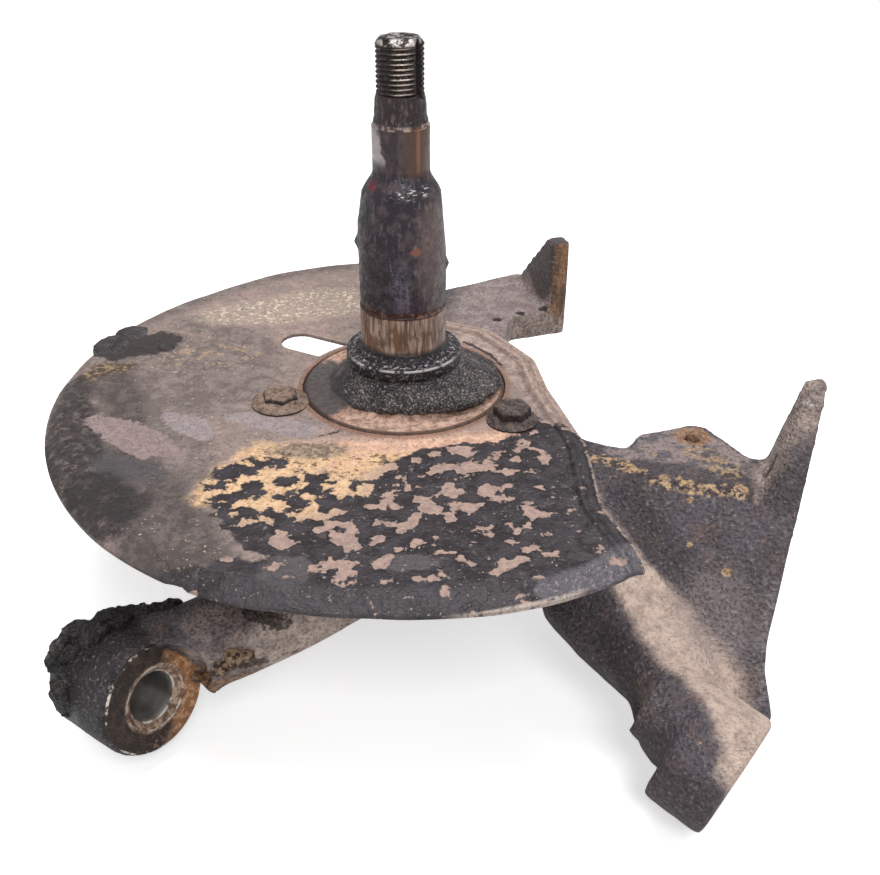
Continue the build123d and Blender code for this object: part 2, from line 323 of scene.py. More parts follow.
@dataclass(frozen=True)
class ForgedSteel:
    """Sand-textured forging: dark paint and oil, a pale ridge, rust and yellow flakes, with painted shade on
    its flanks and painted highlights on its grain.
    """

    name: str = "forged_steel"
    dark: Colour = (0.08, 0.066, 0.072)
    bluish: Colour = (0.108, 0.092, 0.106)
    tan: Colour = (0.63, 0.485, 0.405)
    brown: Colour = (0.17, 0.115, 0.095)
    rust: Colour = (0.3, 0.125, 0.055)
    speck: Colour = (0.55, 0.38, 0.21)
    black: Colour = (0.017, 0.014, 0.015)

    def build(self) -> bpy.types.Material:
        """Makes the material.

        Returns:
            The material.
        """
        f = Finish(self.name, 0.28)
        f.base = f.mottled(self.dark, self.bluish, 22, 0.36, 0.62)
        f.lay(self.brown, f.cloud(7, 0.52, 0.68, True), 0.7)
        self.arm(f)
        self.supports(f)
        ridge = f.strip(
            (
                (69, -46, -14, 1.2), (72, -66, -20, 3), (80, -92, -29, 9), (93, -110, -38, 13.5),
                (106, -132, -45, 15.5), (112, -147, -46, 15.5), (111, -158, -47, 13), (106, -168, -52, 8)
            ),
            3, 2.6, 5
        )
        shadow = f.strip(((84, -62, -18, 8), (100, -92, -32, 10), (108, -112, -42, 6)), 4, 3, 8)
        f.lay((0.05, 0.041, 0.046), shadow, 0.6)
        pale = f.mottled(self.tan, (0.48, 0.355, 0.3), 5, 0.42, 0.66, True)
        pale = f.coat(pale, (0.6, 0.5, 0.46), f.both(f.cloud(1.7, 0.6, 0.72), 0.6))
        pale = f.coat(pale, (0.16, 0.12, 0.11), f.both(f.cloud(1.7, 0.62, 0.7, True), 0.5))
        f.lay(pale, ridge, f.level(0.72, 0.95, f.cloud(7, 0.36, 0.5)))
        side = f.strip(((133, -98, -30, 2), (129, -116, -44, 4), (125, -130, -53, 4.5)), 3, 2, 6)
        f.lay((0.27, 0.232, 0.23), side, f.cloud(2.4, 0.4, 0.6), 0.7)
        web_low = f.near((112, -108, -38), (14, 20, 14), 0.2, 0.5, 8)
        f.lay((0.25, 0.205, 0.205), web_low, 0.6)
        # Painted shade along the beam's lower flank and under the boss, with rust flecks over it.
        under = f.strip(((72, -112, -44, 8), (82, -140, -58, 11), (88, -168, -66, 13)), 4, 3, 9)
        f.lay((0.062, 0.048, 0.055), under, 0.8)
        f.lay((0.17, 0.11, 0.085), under, f.cloud(3.4, 0.6, 0.68, True), 0.6)
        blotch = f.near((82.5, -137, -50), (5, 10, 6), 0.5, 0.5, 4)
        f.lay((0.25, 0.175, 0.13), blotch, f.cloud(2.4, 0.42, 0.58), 0.75)
        self.flakes(f)
        greasy = f.strip(((-116, -116, -62, 12), (-122, -104, -58, 11), (-112, -98, -52, 8)), 3, 5, 6)
        f.lay(self.black, greasy, 0.9)
        sand = f.streak(1.35, 2, 0.6, (1, 1, 1.01))
        f.lay((0.014, 0.011, 0.012), f.step(sand, 0.54, 0.32), f.level(0.5, 0.18, ridge))
        # Painted highlights on the high grains of the sand.
        f.lay((0.5, 0.45, 0.45), f.step(sand, 0.56, 0.78), 0.36)
        lumps = f.grain(5)
        height = f.math("ADD", f.both(sand, 0.8), f.both(lumps, 0.6))
        rough = f.level(f.level(0.45, 0.7, lumps), 0.32, greasy)
        return f.finish(rough, 0, height, 2.3)

    def arm(self, f: Finish) -> None:
        """Lays the steering arm's greys, the painted shade under the shield and the dirt along its edges.

        Args:
            f: the finish.
        """
        arm = f.strip(((-70, -104, -50, 13), (-40, -96, -44, 17), (-14, -72, -36, 20)), 4, 3, 9)
        grey = f.mottled((0.46, 0.355, 0.305), (0.68, 0.54, 0.465), 7, 0.4, 0.62)
        f.lay(grey, arm, 0.92)
        shade = f.strip(((-84, -92, -38, 7), (-62, -86, -34, 9), (-40, -80, -28, 7)), 3, 4, 8)
        f.lay((0.085, 0.067, 0.06), shade, 0.8)
        edge = f.strip(((-70, -117, -60, 2.6), (-44, -112, -57, 2), (-20, -100, -50, 1.8)), 1, 3, 4)
        f.lay((0.33, 0.19, 0.11), edge, 0.8)
        seam = f.strip(
            ((-71, -118, -55, 1.8), (-62, -116, -50, 3.2), (-48, -113, -53, 1.2), (-30, -106, -50, 0.9)),
            0.6, 2.4, 3
        )
        f.lay((0.045, 0.028, 0.022), seam, 0.85)
        # Ragged brown dirt just under the shield's edge, with painted shade in it.
        dirt_and_shade_under_shield = f.strip(
            (
                (-58, -107, -33.5, 1.6), (-51, -109.6, -35, 3), (-46, -110.2, -36.2, 3.2),
                (-41, -109, -37.5, 1.4)
            ),
            0.5, 3.4, 3
        )
        f.lay(f.mottled((0.045, 0.03, 0.026), (0.22, 0.165, 0.15), 3.4, 0.48, 0.6), dirt_and_shade_under_shield, 0.9)
        barrel = f.strip(((-110, -106, -60, 23), (-96, -118, -62, 21)), 3, 4, 8)
        cast = f.mottled((0.009, 0.0075, 0.008), (0.03, 0.026, 0.028), 10, 0.38, 0.62)
        cast = f.coat(cast, (0.19, 0.168, 0.165), f.both(f.cloud(1.2, 0.58, 0.7), 0.35))
        f.lay(cast, barrel, 0.95)
        joint = f.near((-74, -110, -64.5), (6.5, 6.5, 6.5), 0.3, 0.3, 3)
        f.lay(f.mottled((0.11, 0.062, 0.04), (0.4, 0.225, 0.12), 2.4, 0.42, 0.6), joint, 0.9)

    def supports(self, f: Finish) -> None:
        """Lays the colours of the ear bracket, the prong and the lug.

        Args:
            f: the finish.
        """
        bracket = f.near((66, 100, -24), (44, 74, 16), 0.1, 0.2, 12)
        top = f.mottled((0.29, 0.225, 0.215), (0.43, 0.345, 0.33), 7, 0.38, 0.64)
        f.lay(top, bracket, 0.92)
        # Painted shade on the left-facing side of the ear.
        painted_side_shade = f.both(
            f.near((74, 128, 2), (16, 16, 20), 0.05, 0.1, 6),
            f.step(f.facing((-0.966, -0.259, 0)), 0.55, 0.8)
        )
        f.lay((0.11, 0.085, 0.08), painted_side_shade, 0.85)
        front = f.both(
            f.strip(((52, 104, -28, 9), (84, 116, -28, 9)), 1, 1, 5),
            f.step(f.facing((0.26, -0.965, 0)), 0.7, 0.85)
        )
        f.lay(f.mottled((0.24, 0.185, 0.16), (0.42, 0.32, 0.275), 3.4, 0.4, 0.6), front, 0.9)
        for place in ((48.4, 104.2, -20), (74, 116.5, -20), (61.2, 112.5, -20)):
            f.lay((0.035, 0.026, 0.024), f.near(place, (2.6, 2.2, 2.4), 0.3, 0.3, 3))
        ear = f.both(
            f.near((82, 116, -2), (10, 7, 22), 0.05, 0.15, 5),
            f.step(f.facing((0.2588, -0.9659, 0)), 0.7, 0.85)
        )
        streak = f.step(f.streak(5, 3, 0.6, (1, 1, 0.25)), 0.35, 0.65)
        f.lay(f.coat((0.33, 0.17, 0.09), (0.13, 0.08, 0.06), streak), ear)
        prong = f.strip(
            ((154, -50, 20, 9), (148, -52, 0, 9), (142, -58, -14, 8), (136, -62, -22, 8)), 3, 3, 8
        )
        sandy = f.mottled((0.285, 0.218, 0.198), (0.43, 0.335, 0.295), 7, 0.38, 0.62)
        f.lay(sandy, prong, 0.9)
        line = f.strip(((151, -50, 16.6, 0.5), (155, -53, 16, 0.7), (158, -51, 15.4, 0.4)), 0.4, 0.8, 3)
        f.lay((0.62, 0.55, 0.5), line, 0.7)
        # Painted shade along the prong's left edge, where its side face is in shadow.
        groove = f.strip(((143.2, -56.1, -4, 0.9), (138.4, -61.2, -14.6, 1.7)), 0.8, 1.2, 4)
        f.lay((0.03, 0.024, 0.024), groove, 0.85)
        lug = f.strip(((90, -36, -12, 9), (112, -34, -12, 15), (128, -46, -12, 10)), 2, 3, 8)
        f.lay(f.mottled((0.14, 0.125, 0.14), (0.34, 0.265, 0.25), 7, 0.4, 0.56), lug, 0.9)
        ring = f.near((118, -28, -12), (7.6, 7, 6), 0.25, 0.15, 3)
        f.lay(f.mottled(self.rust, (0.4, 0.27, 0.16), 2.4, 0.4, 0.6), ring, 0.85)

    def flakes(self, f: Finish) -> None:
        """Scatters the yellow flakes over the web and the lug.

        Args:
            f: the finish.
        """
        band = f.strip(
            (
                (70, -40, -10, 4), (84, -46, -13, 3.4), (95, -57, -13, 2.4), (110, -63, -13, 3.2),
                (127, -68, -12, 3.4)
            ),
            1, 4, 4
        )
        patch = f.strip(((118, -40, -12, 6), (126, -54, -12, 6)), 2, 5, 4)
        crumbs = f.cloud(3.4, 0.49, 0.53)
        mask = f.both(f.any_of(band, f.both(patch, 0.8)), crumbs)
        for place, size in (
            ((108.3, -67.4, -16.4), 1.5), ((106.1, -82.2, -26.6), 1.2), ((117.9, -93.1, -31.1), 1.9),
            ((99.7, -41.8, -12), 1.3)
        ):
            mask = f.any_of(mask, f.near(place, (size, size * 0.8, size), 0.45, 0.3, 1.6))
        specks = f.cloud(2.4, 0.705, 0.73, True)
        mask = f.any_of(mask, f.both(specks, 0.7))
        gap = f.both(f.any_of(band, f.both(patch, 0.8)), f.cloud(3.4, 0.49, 0.44))
        f.lay((0.05, 0.034, 0.028), gap, 0.6)
        f.lay(f.mottled(self.speck, (0.34, 0.215, 0.13), 2.4, 0.42, 0.6), mask)


@dataclass(frozen=True)
class SpindleSteel:
    """Oily turned steel, bright or brown at its seats."""

    name: str = "spindle_steel"
    oil: Colour = (0.022, 0.016, 0.023)
    steel: Colour = (0.4, 0.35, 0.35)

    def build(self) -> bpy.types.Material:
        """Makes the material.

        Returns:
            The material.
        """
        f = Finish(self.name, 0.45)
        z = f.along((0, 0, 1))
        x = f.along((1, 0, 0))
        f.base = f.mottled(self.oil, (0.085, 0.058, 0.068), 5, 0.44, 0.7)
        patch = f.near((12, -12, 62), (7, 10, 20), 0.3, 0.4, 7)
        f.lay(f.mottled((0.11, 0.075, 0.072), (0.2, 0.13, 0.115), 2.4, 0.45, 0.68), patch, 0.8)
        # Painted reflection: a soft bluish patch on the front of the body.
        glow = f.near((-1, -17, 49), (3.6, 5, 10), 0.3, 0.6, 6)
        f.lay((0.15, 0.145, 0.2), glow, f.cloud(1.7, 0.36, 0.6), 0.6)
        scratch = f.step(f.streak(1.3, 2, 0.65, (1, 1, 0.22)), 0.58, 0.7)
        f.lay((0.24, 0.2, 0.22), scratch, 0.4)
        spot = f.near((5.2, -16, 64.2), (1.8, 4, 1.5), 0.4, 0.4, 2)
        f.lay((0.3, 0.1, 0.06), spot, 0.7)
        blood = f.near((-12, -8, 88), (2.4, 4, 1.8), 0.35, 0.4, 2)
        f.lay((0.12, 0.012, 0.02), blood, 0.8)
        seat = f.both(f.step(z, 20.4, 21.4), f.step(z, 37, 36))
        streaks = f.step(f.streak(1.6, 2, 0.7, (1, 1, 0.1)), 0.34, 0.7)
        stained = f.coat((0.12, 0.066, 0.05), (0.5, 0.365, 0.29), streaks)
        stained = f.coat(stained, (0.13, 0.075, 0.05), f.both(f.cloud(7, 0.5, 0.62), 0.75))
        stained = f.coat(
            stained, (0.2, 0.085, 0.04),
            f.step(f.streak(5, 3, 0.6, (1, 1, 0.2), shift=(5, 1, 2)), 0.56, 0.66)
        )
        f.lay(stained, seat)
        f.lay((0.016, 0.012, 0.012), f.step(z, 23.2, 20.6), f.step(z, 17.4, 18.4), 0.9)
        groove = f.both(f.step(z, 36.2, 37.2), f.step(z, 39.8, 38.4))
        f.lay(f.mottled((0.045, 0.02, 0.017), (0.22, 0.11, 0.07), 2.4, 0.52, 0.62), groove)
        wave = f.both(f.grain(5), 6)
        outer = f.both(f.step(z, 90, 93.5), f.step(z, 110.2, 109))
        bare = f.both(
            f.step(
                f.math("ADD", f.math("ADD", x, wave), f.both(f.math("SUBTRACT", z, 101), 0.16)), -3.4, -4.6
            ),
            f.step(z, 94, 98)
        )
        wiped = f.coat(
            (0.034, 0.021, 0.026), (0.085, 0.054, 0.058),
            f.step(f.streak(3, 3, 0.7, (1, 1, 0.4)), 0.42, 0.68)
        )
        bronze = f.step(f.math("ADD", x, f.both(f.streak(2.5, 3, 0.6, (1, 1, 0.1)), 2)), 1.6, 3.6)
        wiped = f.coat(wiped, (0.085, 0.043, 0.028), bronze)
        stripe = f.near((6.4, -8, 102), (0.7, 9, 9.5), 0.1, 0.7, 4)
        wiped = f.coat(wiped, (0.3, 0.135, 0.065), f.both(stripe, 0.6))
        wiped = f.coat(wiped, self.steel, bare)
        f.lay(wiped, outer)
        edge = f.both(f.step(z, 108.3, 108.9), f.step(z, 110.4, 109.7), f.cloud(3.4, 0.42, 0.56))
        f.lay((0.46, 0.34, 0.28), edge, 0.85)
        # Pale specks round the front, just below the outer seat.
        pale_specks = f.both(
            f.near((4, -13, 86.2), (8, 9, 2.2), 0.35, 0.3, 3),
            f.step(f.streak(1.6, 2, 0.6, (0.6, 0.6, 1.8)), 0.57, 0.66)
        )
        f.lay((0.6, 0.56, 0.56), pale_specks)
        relief = f.both(f.step(z, 110, 111.2), f.step(z, 120.4, 119.6))
        f.lay(
            f.coat(
                (0.026, 0.014, 0.015), (0.12, 0.08, 0.075),
                f.step(f.streak(1.5, 2, 0.65, (1, 1, 0.3)), 0.5, 0.68)
            ),
            relief
        )
        thread = f.both(f.step(z, 119.5, 120.5), f.step(z, 138.2, 137.4))
        f.lay(f.speckled((0.02, 0.0115, 0.009), 1.2, 0.6), thread)
        turn = f.math("FRACT", f.math("DIVIDE", f.math("SUBTRACT", z, f.both(f.around(), 1.75)), 1.75))
        crest = f.both(thread, f.step(turn, 0.3, 0.42), f.step(turn, 0.7, 0.58))
        # Painted highlight: the thread's crests are bright only in a narrow column at the front.
        crest_highlight = f.near((0.6, -9, 129), (3.2, 4, 11), 0.35, 0.7, 3)
        f.lay((0.62, 0.53, 0.45), crest, crest_highlight)
        tip = f.step(z, 137.4, 138.2)
        f.lay(f.mottled((0.035, 0.026, 0.024), (0.5, 0.46, 0.44), 3.4, 0.46, 0.56), tip)
        # Painted shade down the keyway.
        keyway_shade = f.both(f.near((7.2, -5.6, 130), (2.4, 2.6, 12), 0.05, 0.15, 3), f.step(z, 119, 121))
        f.lay((0.012, 0.008, 0.008), keyway_shade, 0.9)
        self.land(f, z)
        flange = self.flange(f, z)
        metal = f.both(f.any_of(tip, f.both(outer, bare), f.both(crest, crest_highlight, 0.8)), 0.8)
        gloss = f.level(0.26, 0.5, f.cloud(3.4, 0.35, 0.65))
        rough = f.level(gloss, 0.9, flange)
        height = f.math("ADD", f.both(f.grain(1.2), 0.45), f.both(f.grain(3.4), 0.65))
        depth = f.level(f.level(height, f.both(height, 0.2), f.any_of(seat, outer)), f.grain(1.2), flange)
        return f.finish(rough, metal, depth, 0.9)

    def land(self, f: Finish, z: object) -> None:
        """Lays wet black grease, with painted highlight specks, and a bright worn edge on the seal land.

        Args:
            f: the finish.
            z: height in millimetres.
        """
        land = f.both(f.step(z, 10.8, 11.6), f.step(z, 20.4, 18.8))
        # Black grease, with light specks painted in as highlights on its wet surface.
        black = f.mottled((0.018, 0.015, 0.018), (0.25, 0.225, 0.24), 1.2, 0.53, 0.68)
        f.lay(black, land)
        radius = f.radius()
        edge = f.both(
            f.step(z, 16.3, 16.7), f.step(radius, 23, 23.3), f.cloud(5, 0.42, 0.52),
            f.step(f.along((0, -1, 0)), 4, 16)
        )
        f.lay((0.55, 0.51, 0.5), edge, 0.85)
        ring = f.both(
            f.step(z, 16.6, 17), f.step(radius, 20, 20.5), f.step(radius, 21.8, 21.2),
            f.cloud(1.2, 0.5, 0.6)
        )
        f.lay((0.42, 0.39, 0.42), ring, 0.8)

    def flange(self, f: Finish, z: object) -> Socket:
        """Lays grainy pink and orange rust on the flange, with painted shade round its edge.

        Args:
            f: the finish.
            z: height in millimetres.

        Returns:
            Where the flange is.
        """
        flange = f.step(z, 2.6, 1.4)
        rusty = f.mottled((0.27, 0.165, 0.13), (0.6, 0.4, 0.31), 3.4, 0.36, 0.62)
        rusty = f.coat(rusty, (0.5, 0.23, 0.13), f.both(f.cloud(7, 0.52, 0.68, True), 0.55))
        rusty = f.coat(rusty, (0.1, 0.065, 0.055), f.both(f.cloud(1.2, 0.58, 0.68, True), 0.7))
        smooth = f.near((-33, -4, 0), (16, 25, 12), 0.15, 0.12, 6)
        rusty = f.coat(rusty, f.speckled((0.078, 0.069, 0.07), 2.4, 0.35), f.both(smooth, 0.95))
        # Painted shade darkens the flange's outer edge and its side wall.
        rim = f.step(f.math("ADD", f.radius(), f.both(f.grain(3.4), 2)), 41.6, 42.6)
        rusty = f.coat(rusty, (0.045, 0.024, 0.018), f.both(f.any_of(rim, f.step(z, -0.3, -0.8)), 0.85))
        f.lay(rusty, flange)
        return flange


@dataclass(frozen=True)
class OldGrease:
    """Dried, grainy black grease with dust in it."""

    name: str
    black: Colour = (0.02, 0.017, 0.019)
    dust: Colour = (0.46, 0.41, 0.395)
    dusty: float = 0.75
    cake: Colour = (0.075, 0.062, 0.064)
    rough_low: float = 0.34

    def build(self) -> bpy.types.Material:
        """Makes the material.

        Returns:
            The material.
        """
        f = Finish(self.name, 0.4)
        grains = f.step(f.streak(0.85, 2, 0.6, (1, 1, 1.01)), 0.5, 0.66)
        cake = f.cloud(7, 0.36, 0.66)
        f.base = f.coat(self.black, self.cake, f.both(cake, 0.8))
        f.lay(self.dust, grains, self.dusty, f.level(0.55, 1, cake))
        height = f.math("ADD", f.both(f.grain(1.2), 0.8), f.both(f.grain(3.4), 0.6))
        rough = f.level(self.rough_low, 0.8, f.cloud(1.7, 0.35, 0.65))
        return f.finish(rough, 0, height, 2.4)


@dataclass(frozen=True)
class RustScale:
    """A crust of brown and orange rust."""

    name: str = "rust_scale"

    def build(self) -> bpy.types.Material:
        """Makes the material.

        Returns:
            The material.
        """
        f = Finish(self.name, 0.3)
        f.base = f.mottled((0.045, 0.028, 0.021), (0.31, 0.205, 0.13), 2.4, 0.42, 0.6)
        f.lay((0.46, 0.35, 0.25), f.cloud(1.2, 0.62, 0.7, True))
        return f.finish(0.85, 0, f.grain(1.2), 1)


@dataclass(frozen=True)
class FlakedPaint:
    """Shield sheet: black paint peeled in islands over pinkish-brown rust and ochre dust."""

    name: str = "flaked_paint"
    paint: Colour = (0.026, 0.021, 0.024)
    paint_light: Colour = (0.052, 0.044, 0.05)
    bluish: Colour = (0.125, 0.112, 0.128)
    rust: Colour = (0.31, 0.228, 0.205)
    pink: Colour = (0.44, 0.325, 0.285)
    skin: Colour = (0.43, 0.3, 0.25)
    bare: Colour = (0.265, 0.198, 0.196)
    dim: Colour = (0.15, 0.119, 0.112)
    dim_light: Colour = (0.245, 0.2, 0.182)
    ochre: Colour = (0.6, 0.37, 0.205)
    gold: Colour = (0.78, 0.535, 0.325)
    island_grain: tuple[float, float, float, Point, float, Point] = (7.2, 3, 0.5, (1, 1, 1.01), 0, (2, 5, 0))

    def build(self) -> bpy.types.Material:
        """Makes the material.

        Returns:
            The material.
        """
        f = Finish(self.name, 0.3)
        self.rusty(f)
        self.dusted(f)
        held = self.painted(f)
        self.patches(f)
        self.edges(f)
        far = f.stored("from_cut")
        bead = f.both(f.step(far, 3.6, 6.2), f.step(far, 8.8, 6.4))
        edge = f.step(far, 2.6, 0.6)
        flakes = f.step(f.streak(*self.island_grain), 0.54, 0.515)
        height = f.math(
            "ADD", f.math("ADD", f.both(flakes, 0.2), f.both(f.any_of(bead, edge), 0.9)),
            f.math("ADD", f.both(f.grain(1.7), 0.45), f.both(f.grain(5), 0.4))
        )
        rough = f.level(0.85, f.level(0.36, 0.6, f.grain(5)), held)
        return f.finish(rough, 0, height, 1.7)

    def rusty(self, f: Finish) -> None:
        """The bare sheet: pinkish-brown rust, with duller zones on the left and at the back, and a band of
        painted shadow behind the hub.

        Args:
            f: the finish.
        """
        blot = f.grain(16)
        mid = f.grain(5, True)
        f.base = f.coat(self.rust, self.pink, f.both(f.step(mid, 0.42, 0.62), 0.6))
        f.lay(self.dim_light, f.step(blot, 0.42, 0.62), 0.7)
        # Greyer zones on the left and at the back, one of them painted shadow.
        dull_and_shaded = f.any_of(
            f.near((-100, 10, -2), (46, 40, 30), 0.1, 0.3, 12),
            f.strip(
                ((-104, -36, -2, 24), (-84, -74, -2, 18), (-76, -106, -2, 22), (-66, -128, -2, 12)), 6, 4, 9
            ),
            # Painted shadow: the grey band behind the hub on the left.
            f.strip(((-100, 64, -2, 8), (-74, 48, -2, 9), (-54, 30, -2, 4)), 5, 3, 9),
            f.both(
                f.step(f.math("ADD", f.radius(), f.both(mid, 10)), 131, 140),
                f.step(f.along((0, 1, 0)), 40, 80)
            )
        )
        shade = f.coat(
            self.dim, self.dim_light, f.step(f.math("ADD", f.both(mid, 0.5), f.both(blot, 0.5)), 0.42, 0.6)
        )
        f.lay(shade, dull_and_shaded, 0.88)
        murk = f.any_of(
            f.strip(((-126, 8, -2, 10), (-114, -12, -2, 8), (-104, -60, -2, 9), (-90, -78, -2, 12)), 4, 4, 6),
            f.strip(((-92, -88, -2, 13), (-82, -104, -2, 17), (-72, -120, -2, 15)), 5, 6, 6)
        )
        f.lay((0.074, 0.06, 0.057), murk, f.level(0.4, 0.88, f.step(mid, 0.4, 0.56)))
        right = f.strip(((14, 62, -2, 12), (44, 44, -2, 14), (58, 6, -2, 12), (60, -18, -2, 7)), 3, 4, 8)
        f.lay(f.coat((0.28, 0.205, 0.18), (0.47, 0.35, 0.3), f.step(mid, 0.38, 0.62)), right, 0.85)
        brown = f.strip(((-137, 10, -2, 5), (-130, 18, -2, 6), (-121, 20, -2, 4)), 2, 4, 6)
        crust = f.mottled((0.075, 0.055, 0.045), (0.32, 0.215, 0.125), 2.4, 0.46, 0.6)
        f.lay(crust, brown, 0.9)

    def dusted(self, f: Finish) -> None:
        """Lays the ochre dust in front of the flange and at the back.

        Args:
            f: the finish.
        """
        band = f.strip(
            (
                (-62, -66, -2, 7), (-44, -56, -2, 10), (-22, -56, -2, 12), (2, -56, -2, 13),
                (26, -50, -2, 10), (46, -40, -2, 7)
            ),
            5, 6, 9
        )
        fine = f.grain(2.4)
        rose = f.coat((0.55, 0.325, 0.235), (0.79, 0.51, 0.365), f.step(fine, 0.36, 0.64))
        f.lay(rose, band, 0.93)
        golden = f.strip(
            (
                (-68, -80, -2, 9), (-54, -56, -2, 10), (-30, -60, -2, 9), (-8, -66, -2, 12),
                (16, -60, -2, 8), (34, -54, -2, 5)
            ),
            3, 5, 6
        )
        yellow = f.mottled(self.ochre, self.gold, 1.7, 0.38, 0.62)
        f.lay(yellow, golden, f.level(0.35, 0.95, f.cloud(7, 0.4, 0.52)))
        grey = f.near((-37, -52, -2), (15, 6, 12), 0.25, 0.3, 4)
        f.lay(f.coat((0.13, 0.105, 0.085), (0.33, 0.26, 0.19), f.step(fine, 0.44, 0.6)), grey, 0.85)
        gaps = f.both(golden, f.cloud(3.4, 0.575, 0.61))
        f.lay((0.12, 0.075, 0.055), gaps, 0.85)
        back = f.strip(((-88, 72, -2, 10), (-62, 78, -2, 16), (-34, 88, -2, 17)), 5, 5, 9)
        f.lay((0.4, 0.32, 0.265), back, 0.7)
        f.lay((0.74, 0.6, 0.46), back, f.cloud(2.4, 0.55, 0.62, True), 0.8)
        tints = f.both(f.near((-88, 30, -2), (24, 16, 20), 0.2, 0.4, 8), f.cloud(3.4, 0.54, 0.62))
        f.lay((0.44, 0.31, 0.2), tints, 0.75)
        stray = f.both(f.cloud(1.7, 0.66, 0.69), f.cloud(22, 0.4, 0.56))
        f.lay((0.62, 0.5, 0.38), stray, 0.8)

    def painted(self, f: Finish) -> Socket:
        """Lays what is left of the black paint.

        Args:
            f: the finish.

        Returns:
            Where the paint still holds.
        """
        region = f.any_of(
            f.strip(
                (
                    (-54, -76, -3, 20), (-38, -92, -3, 26), (-6, -112, -3, 34), (24, -92, -3, 44),
                    (52, -76, -3, 34)
                ),
                1, 5, 6
            ),
            f.strip(
                ((-58, -126, -3, 8), (-30, -134, -3, 12), (20, -138, -3, 12), (60, -128, -3, 14)), 1, 3, 8
            ),
            f.both(f.step(f.radius(), 138.8, 139.8), f.step(f.along((0, -1, 0)), 118, 124)),
            f.strip(((50, -34, -3, 7), (60, -50, -3, 12), (64, -84, -3, 14), (68, -114, -3, 13)), 1, 5, 5)
        )
        corner = f.near((-46, -70, -3), (34, 27, 30), 0.15, 0.4, 8)
        middle = f.near((14, -84, -3), (52, 34, 30), 0.1, 0.4, 12)
        rim = f.step(f.math("ADD", f.radius(), f.both(f.wobble(6), 10)), 131, 137)
        right = f.strip(((60, -52, -3, 7), (63, -84, -3, 11), (66, -124, -3, 15)), 4, 4, 6)
        grown = f.math("ADD", f.both(corner, 0.06), f.both(middle, 0.016))
        fallen = f.both(f.any_of(rim, right), 0.085)
        amount = f.math("SUBTRACT", f.math("ADD", f.streak(*self.island_grain), grown), fallen)
        islands = f.step(amount, 0.56, 0.572)
        held = f.both(region, f.math("SUBTRACT", 1, islands))
        fine = f.grain(2.4, True)
        skin = f.coat(self.skin, (0.31, 0.22, 0.198), f.step(fine, 0.42, 0.64))
        skin = f.coat(skin, f.coat(self.ochre, self.gold, f.step(fine, 0.36, 0.6)), f.both(corner, 0.9))
        # Painted shadow: a thin dark border round each bare island.
        skin = f.coat(skin, (0.15, 0.1, 0.085), f.both(f.step(amount, 0.592, 0.57), 0.55))
        f.lay(skin, region, islands)
        black = f.mottled(self.paint, self.paint_light, 7, 0.4, 0.64)
        worn = f.any_of(
            f.near((-39, -126, -3), (9, 8, 9), 0.25, 0.15, 4),
            f.near((0, -122, -3), (11, 4.5, 9), 0.3, 0.15, 4), f.both(f.cloud(7, 0.63, 0.65, True), 0.7)
        )
        black = f.coat(black, (0.125, 0.108, 0.112), f.both(worn, 0.65))
        front = f.any_of(
            f.strip(((-54, -132, -3, 6), (-20, -140, -3, 6), (30, -138, -3, 5)), 3, 1.5, 8),
            f.both(right, f.cloud(5, 0.46, 0.6))
        )
        black = f.coat(black, (0.062, 0.054, 0.06), f.both(front, 0.75))
        # Painted sheen: a bluish-grey reflection on the black paint along the right front rim.
        painted_sheen = f.strip(((44, -136, -3, 3.5), (60, -130, -3, 5), (74, -120, -3, 6)), 1.5, 1.5, 4)
        black = f.coat(black, f.mottled(self.bluish, (0.28, 0.255, 0.27), 1.2, 0.52, 0.7), f.both(painted_sheen, 0.8))
        black = f.coat(black, (0.4, 0.34, 0.32), f.both(f.cloud(1.7, 0.67, 0.7, True), 0.75))
        f.lay(black, held)
        left = f.strip(
            (
                (-140, 6, -3, 6), (-133, -30, -3, 11), (-124, -62, -3, 15), (-112, -84, -3, 15),
                (-102, -96, -3, 9)
            ),
            3, 5, 9
        )
        deep = f.strip(((-112, -76, -3, 11), (-100, -88, -3, 9), (-94, -84, -3, 5)), 2, 5, 6)
        blue = f.strip(((-112, -58, -3, 6), (-96, -66, -3, 7)), 3, 4, 6)
        tar = f.strip(((-128, 36, -2, 10), (-112, 44, -2, 11), (-104, 42, -2, 4)), 1.5, 5, 6)
        holes = f.level(0.55, 0.96, f.cloud(5, 0.38, 0.48, True))
        dark = f.mottled((0.027, 0.022, 0.022), (0.058, 0.047, 0.046), 3.4, 0.4, 0.64)
        f.lay(dark, left, holes)
        f.lay((0.085, 0.078, 0.086), blue, 0.7)
        f.lay((0.028, 0.023, 0.024), f.any_of(f.both(deep, 0.7), f.both(tar, 0.9)))
        return f.any_of(held, left, deep, tar)

    def patches(self, f: Finish) -> None:
        """Lays the clean pink and lilac patches where the paint came off whole.

        Args:
            f: the finish.
        """
        pale = f.strip(
            ((-123, -27, -2, 5), (-111, -35, -2, 8.5), (-98, -47, -2, 8.5), (-87, -51.5, -2, 3)), 0.4, 3.2,
            4
        )
        lilac = f.strip(((-95, -24, -2, 4), (-84, -32, -2, 7), (-78, -39, -2, 4)), 0.4, 3.2, 4)
        third = f.strip(((-69, -25, -2, 3), (-57, -28, -2, 6.5), (-40, -37, -2, 5)), 0.4, 3.2, 4)
        fine = f.cloud(2.4, 0.4, 0.62)
        f.lay(f.coat((0.3, 0.245, 0.25), (0.37, 0.305, 0.305), fine), f.any_of(lilac, third), 0.9)
        f.lay(f.coat(self.bare, (0.335, 0.248, 0.238), fine), pale, 0.96)

